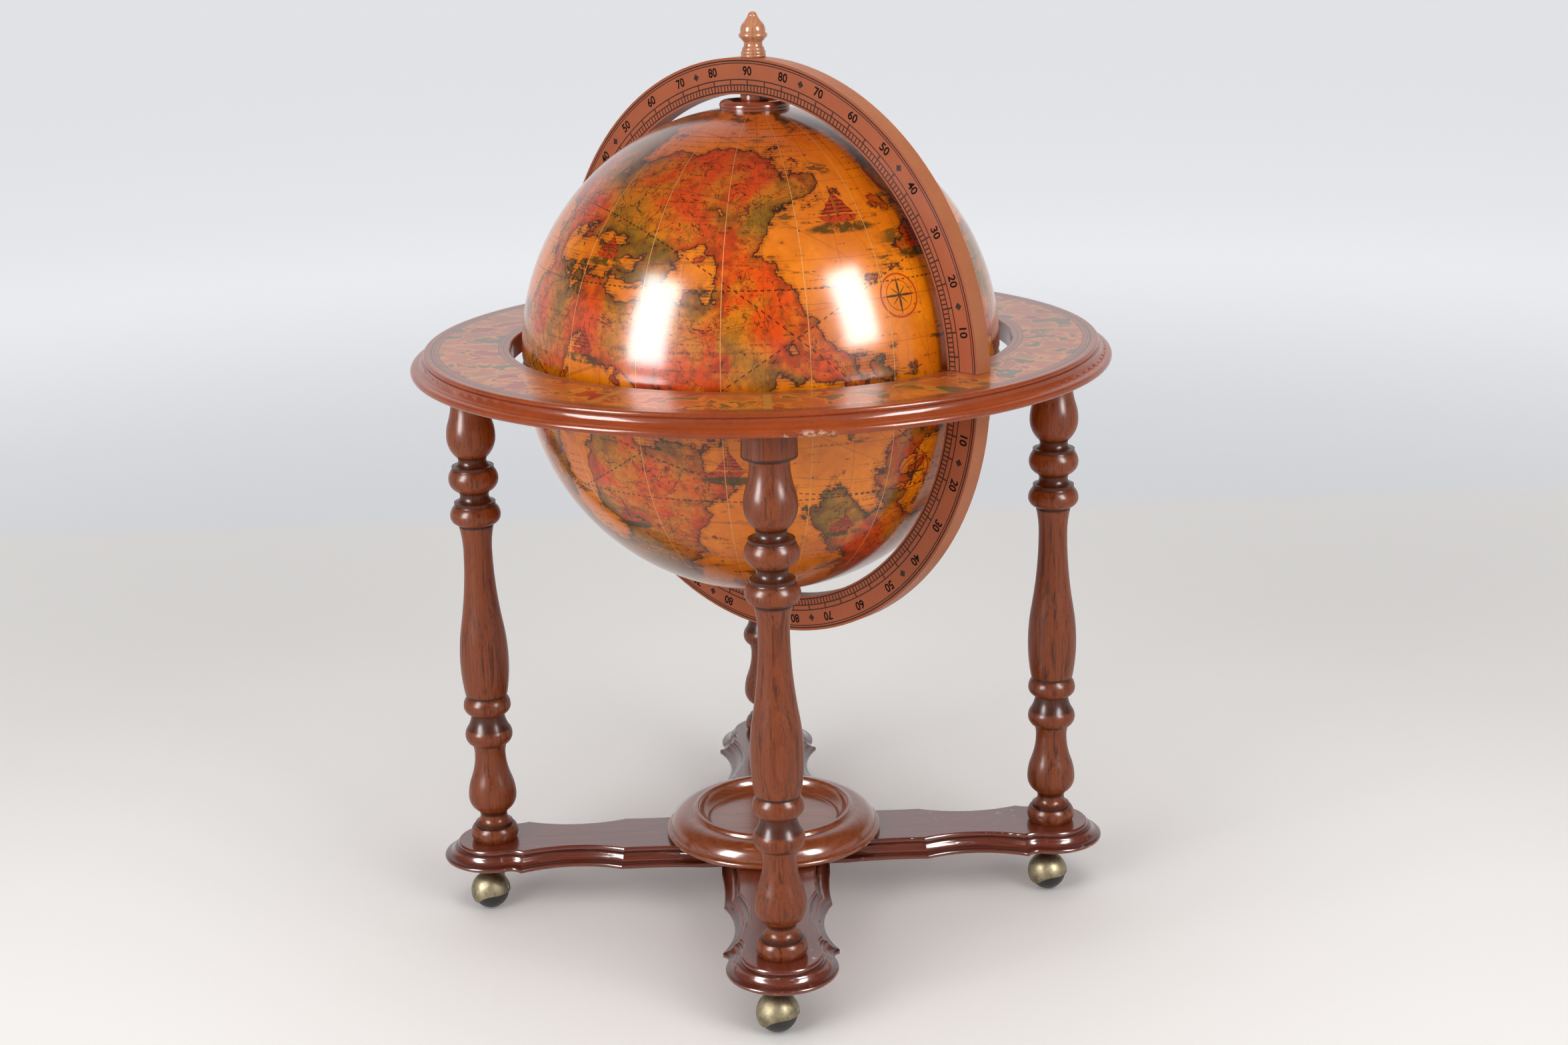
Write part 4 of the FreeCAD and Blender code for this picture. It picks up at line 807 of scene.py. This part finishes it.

# pale floor that passes into the cooler backdrop behind the globe; painted shade greys it under the lamps,
# and a painted glow of its own lightens it everywhere, its shadows too, more far out and more still on the
# side that the lamps face away from; distances in metres
floorSizes = {
    "span": 40, "drop": 0.0003, "warm": "#E9E6E3", "cool": "#E4E5E8", "paintedShadeGrey": "#BDBAB7",
    "turnsCool": (1.50, 1.62), "paintedShadeFrom": (-0.6, -2.6), "paintedShadeWithin": (4.0, 2.2), "far": (0.9, 4.5),
    "unlit": (-1.8, -4.5),
    "glow": 0.10, "farGlow": 0.60, "unlitGlow": 0.20,
}
f = floorSizes
span = f["span"]
mesh = bpy.data.meshes.new("floor")
corners = [(-span, -span, 0), (span, -span, 0), (span, span, 0), (-span, span, 0)]
mesh.from_pydata(corners, [], [(0, 1, 2, 3)])
floor = bpy.data.objects.new("floor", mesh)
floor.location.z = -f["drop"]
bpy.context.collection.objects.link(floor)
paint = blank("paintedFloor")
t = paint.node_tree
spot = add(t, "TexCoord", out="Object")
back = add(t, "SeparateXYZ", spot, out="Y")
reach = add(t, "VectorMath LENGTH", spot)
cool = add(t, "MapRange SMOOTHSTEP", back, *f["turnsCool"])
colour = add(t, "Mix RGBA", cool, linear(f["warm"]), linear(f["cool"]))
# painted shade: grey mixed into the floor in front, where the lamps fall on it most
shade = add(t, "MapRange SMOOTHSTEP", back, *f["paintedShadeFrom"])
shade = add(t, "Math MULTIPLY", shade, add(t, "MapRange SMOOTHSTEP", reach, *f["paintedShadeWithin"]))
colour = add(t, "Mix RGBA", shade, colour, linear(f["paintedShadeGrey"]))
# painted light: the floor glows a little everywhere, lifting the shadows, and more far out
glow = add(t, "MapRange SMOOTHSTEP", reach, *f["far"])
glow = add(t, "Math MULTIPLY_ADD", glow, f["farGlow"], f["glow"])
unlit = add(t, "MapRange SMOOTHSTEP", back, *f["unlit"])
glow = add(t, "Math MULTIPLY_ADD", unlit, f["unlitGlow"], glow)
surface(paint, colour, 0.6, Specular_IOR_Level=0.15, Emission_Color=colour, Emission_Strength=glow)
mesh.materials.append(paint)

# bright paper behind the object and a dim room behind the camera; the camera sees pale paper all round,
# and polished metal and varnish mirror its lower part, about 14 degrees high
skySizes = {
    "colour": "#F4F5F8", "turns": (0.45, 0.9), "dim": 0.12, "bright": 0.98, "paper": 0.83,
    "top": (0.22, 0.26),
}
world = bpy.data.worlds.new("studio")
world.use_nodes = True
t = world.node_tree
t.nodes.clear()
heading = add(t, "TexCoord", out="Generated")
room = add(
    t, "MapRange SMOOTHSTEP", add(t, "SeparateXYZ", heading, out="Y"), *skySizes["turns"],
    skySizes["dim"], skySizes["bright"])
band = add(t, "MapRange SMOOTHSTEP", add(t, "SeparateXYZ", heading, out="Z"), *skySizes["top"], 1.0, 0.0)
glossy, through = (add(t, "LightPath", out=ray) for ray in ("Is Glossy Ray", "Is Transmission Ray"))
mirrored = add(t, "Math MULTIPLY", add(t, "Math MAXIMUM", glossy, through), band)
shown = add(t, "Math MAXIMUM", add(t, "LightPath", out="Is Camera Ray"), mirrored)
strength = add(t, "Mix FLOAT", shown, room, skySizes["paper"])
add(t, "OutputWorld", add(t, "Background", Color=linear(skySizes["colour"]), Strength=strength))
bpy.context.scene.world = world

# soft panels, the two boxes hooded so that they spare the floor beneath them;
# each glint panel is the bright middle of a softbox, seen only in reflections
lamps = {
    "overhead": {"at": (0.0, -0.3, 3.6), "to": (0, 0, 0.3), "size": (4.0, 3.6),
                 "power": 80, "spread": 180, "sees": "diffuse"},
    "leftBox": {"at": (-1.72, -1.72, 1.46), "to": (-0.108, -0.214, 0.692), "size": (1.4, 1.8),
                "power": 17.4, "spread": 126, "sees": "diffuse"},
    "rightBox": {"at": (1.5, -1.8, 1.62), "to": (0.087, -0.22, 0.702), "size": (1.3, 1.6),
                 "power": 14.1, "spread": 126, "sees": "diffuse"},
    "leftGlint": {"at": (-1.69, -1.27, 1.31), "to": (-0.108, -0.214, 0.692), "size": (0.74, 1.4),
                  "power": 88, "spread": 180, "sees": "glossy"},
    "rightGlint": {"at": (1.45, -1.44, 1.50), "to": (0.087, -0.22, 0.702), "size": (0.64, 1.25),
                   "power": 70, "spread": 180, "sees": "glossy"},
}
for name, lamp in lamps.items():
    light = bpy.data.lights.new(name, "AREA")
    light.shape = "RECTANGLE"
    light.size, light.size_y = lamp["size"]
    light.energy = lamp["power"]
    light.spread = math.radians(lamp["spread"])
    made = bpy.data.objects.new(name, light)
    made.location = lamp["at"]
    made.rotation_euler = (Vector(lamp["to"]) - Vector(lamp["at"])).to_track_quat("-Z", "Y").to_euler()
    made.visible_diffuse = lamp["sees"] != "glossy"
    made.visible_glossy = lamp["sees"] != "diffuse"
    made.visible_camera = False
    bpy.context.collection.objects.link(made)
print("camera, floor and lights set")

bpy.context.scene.view_settings.view_transform = "Standard"
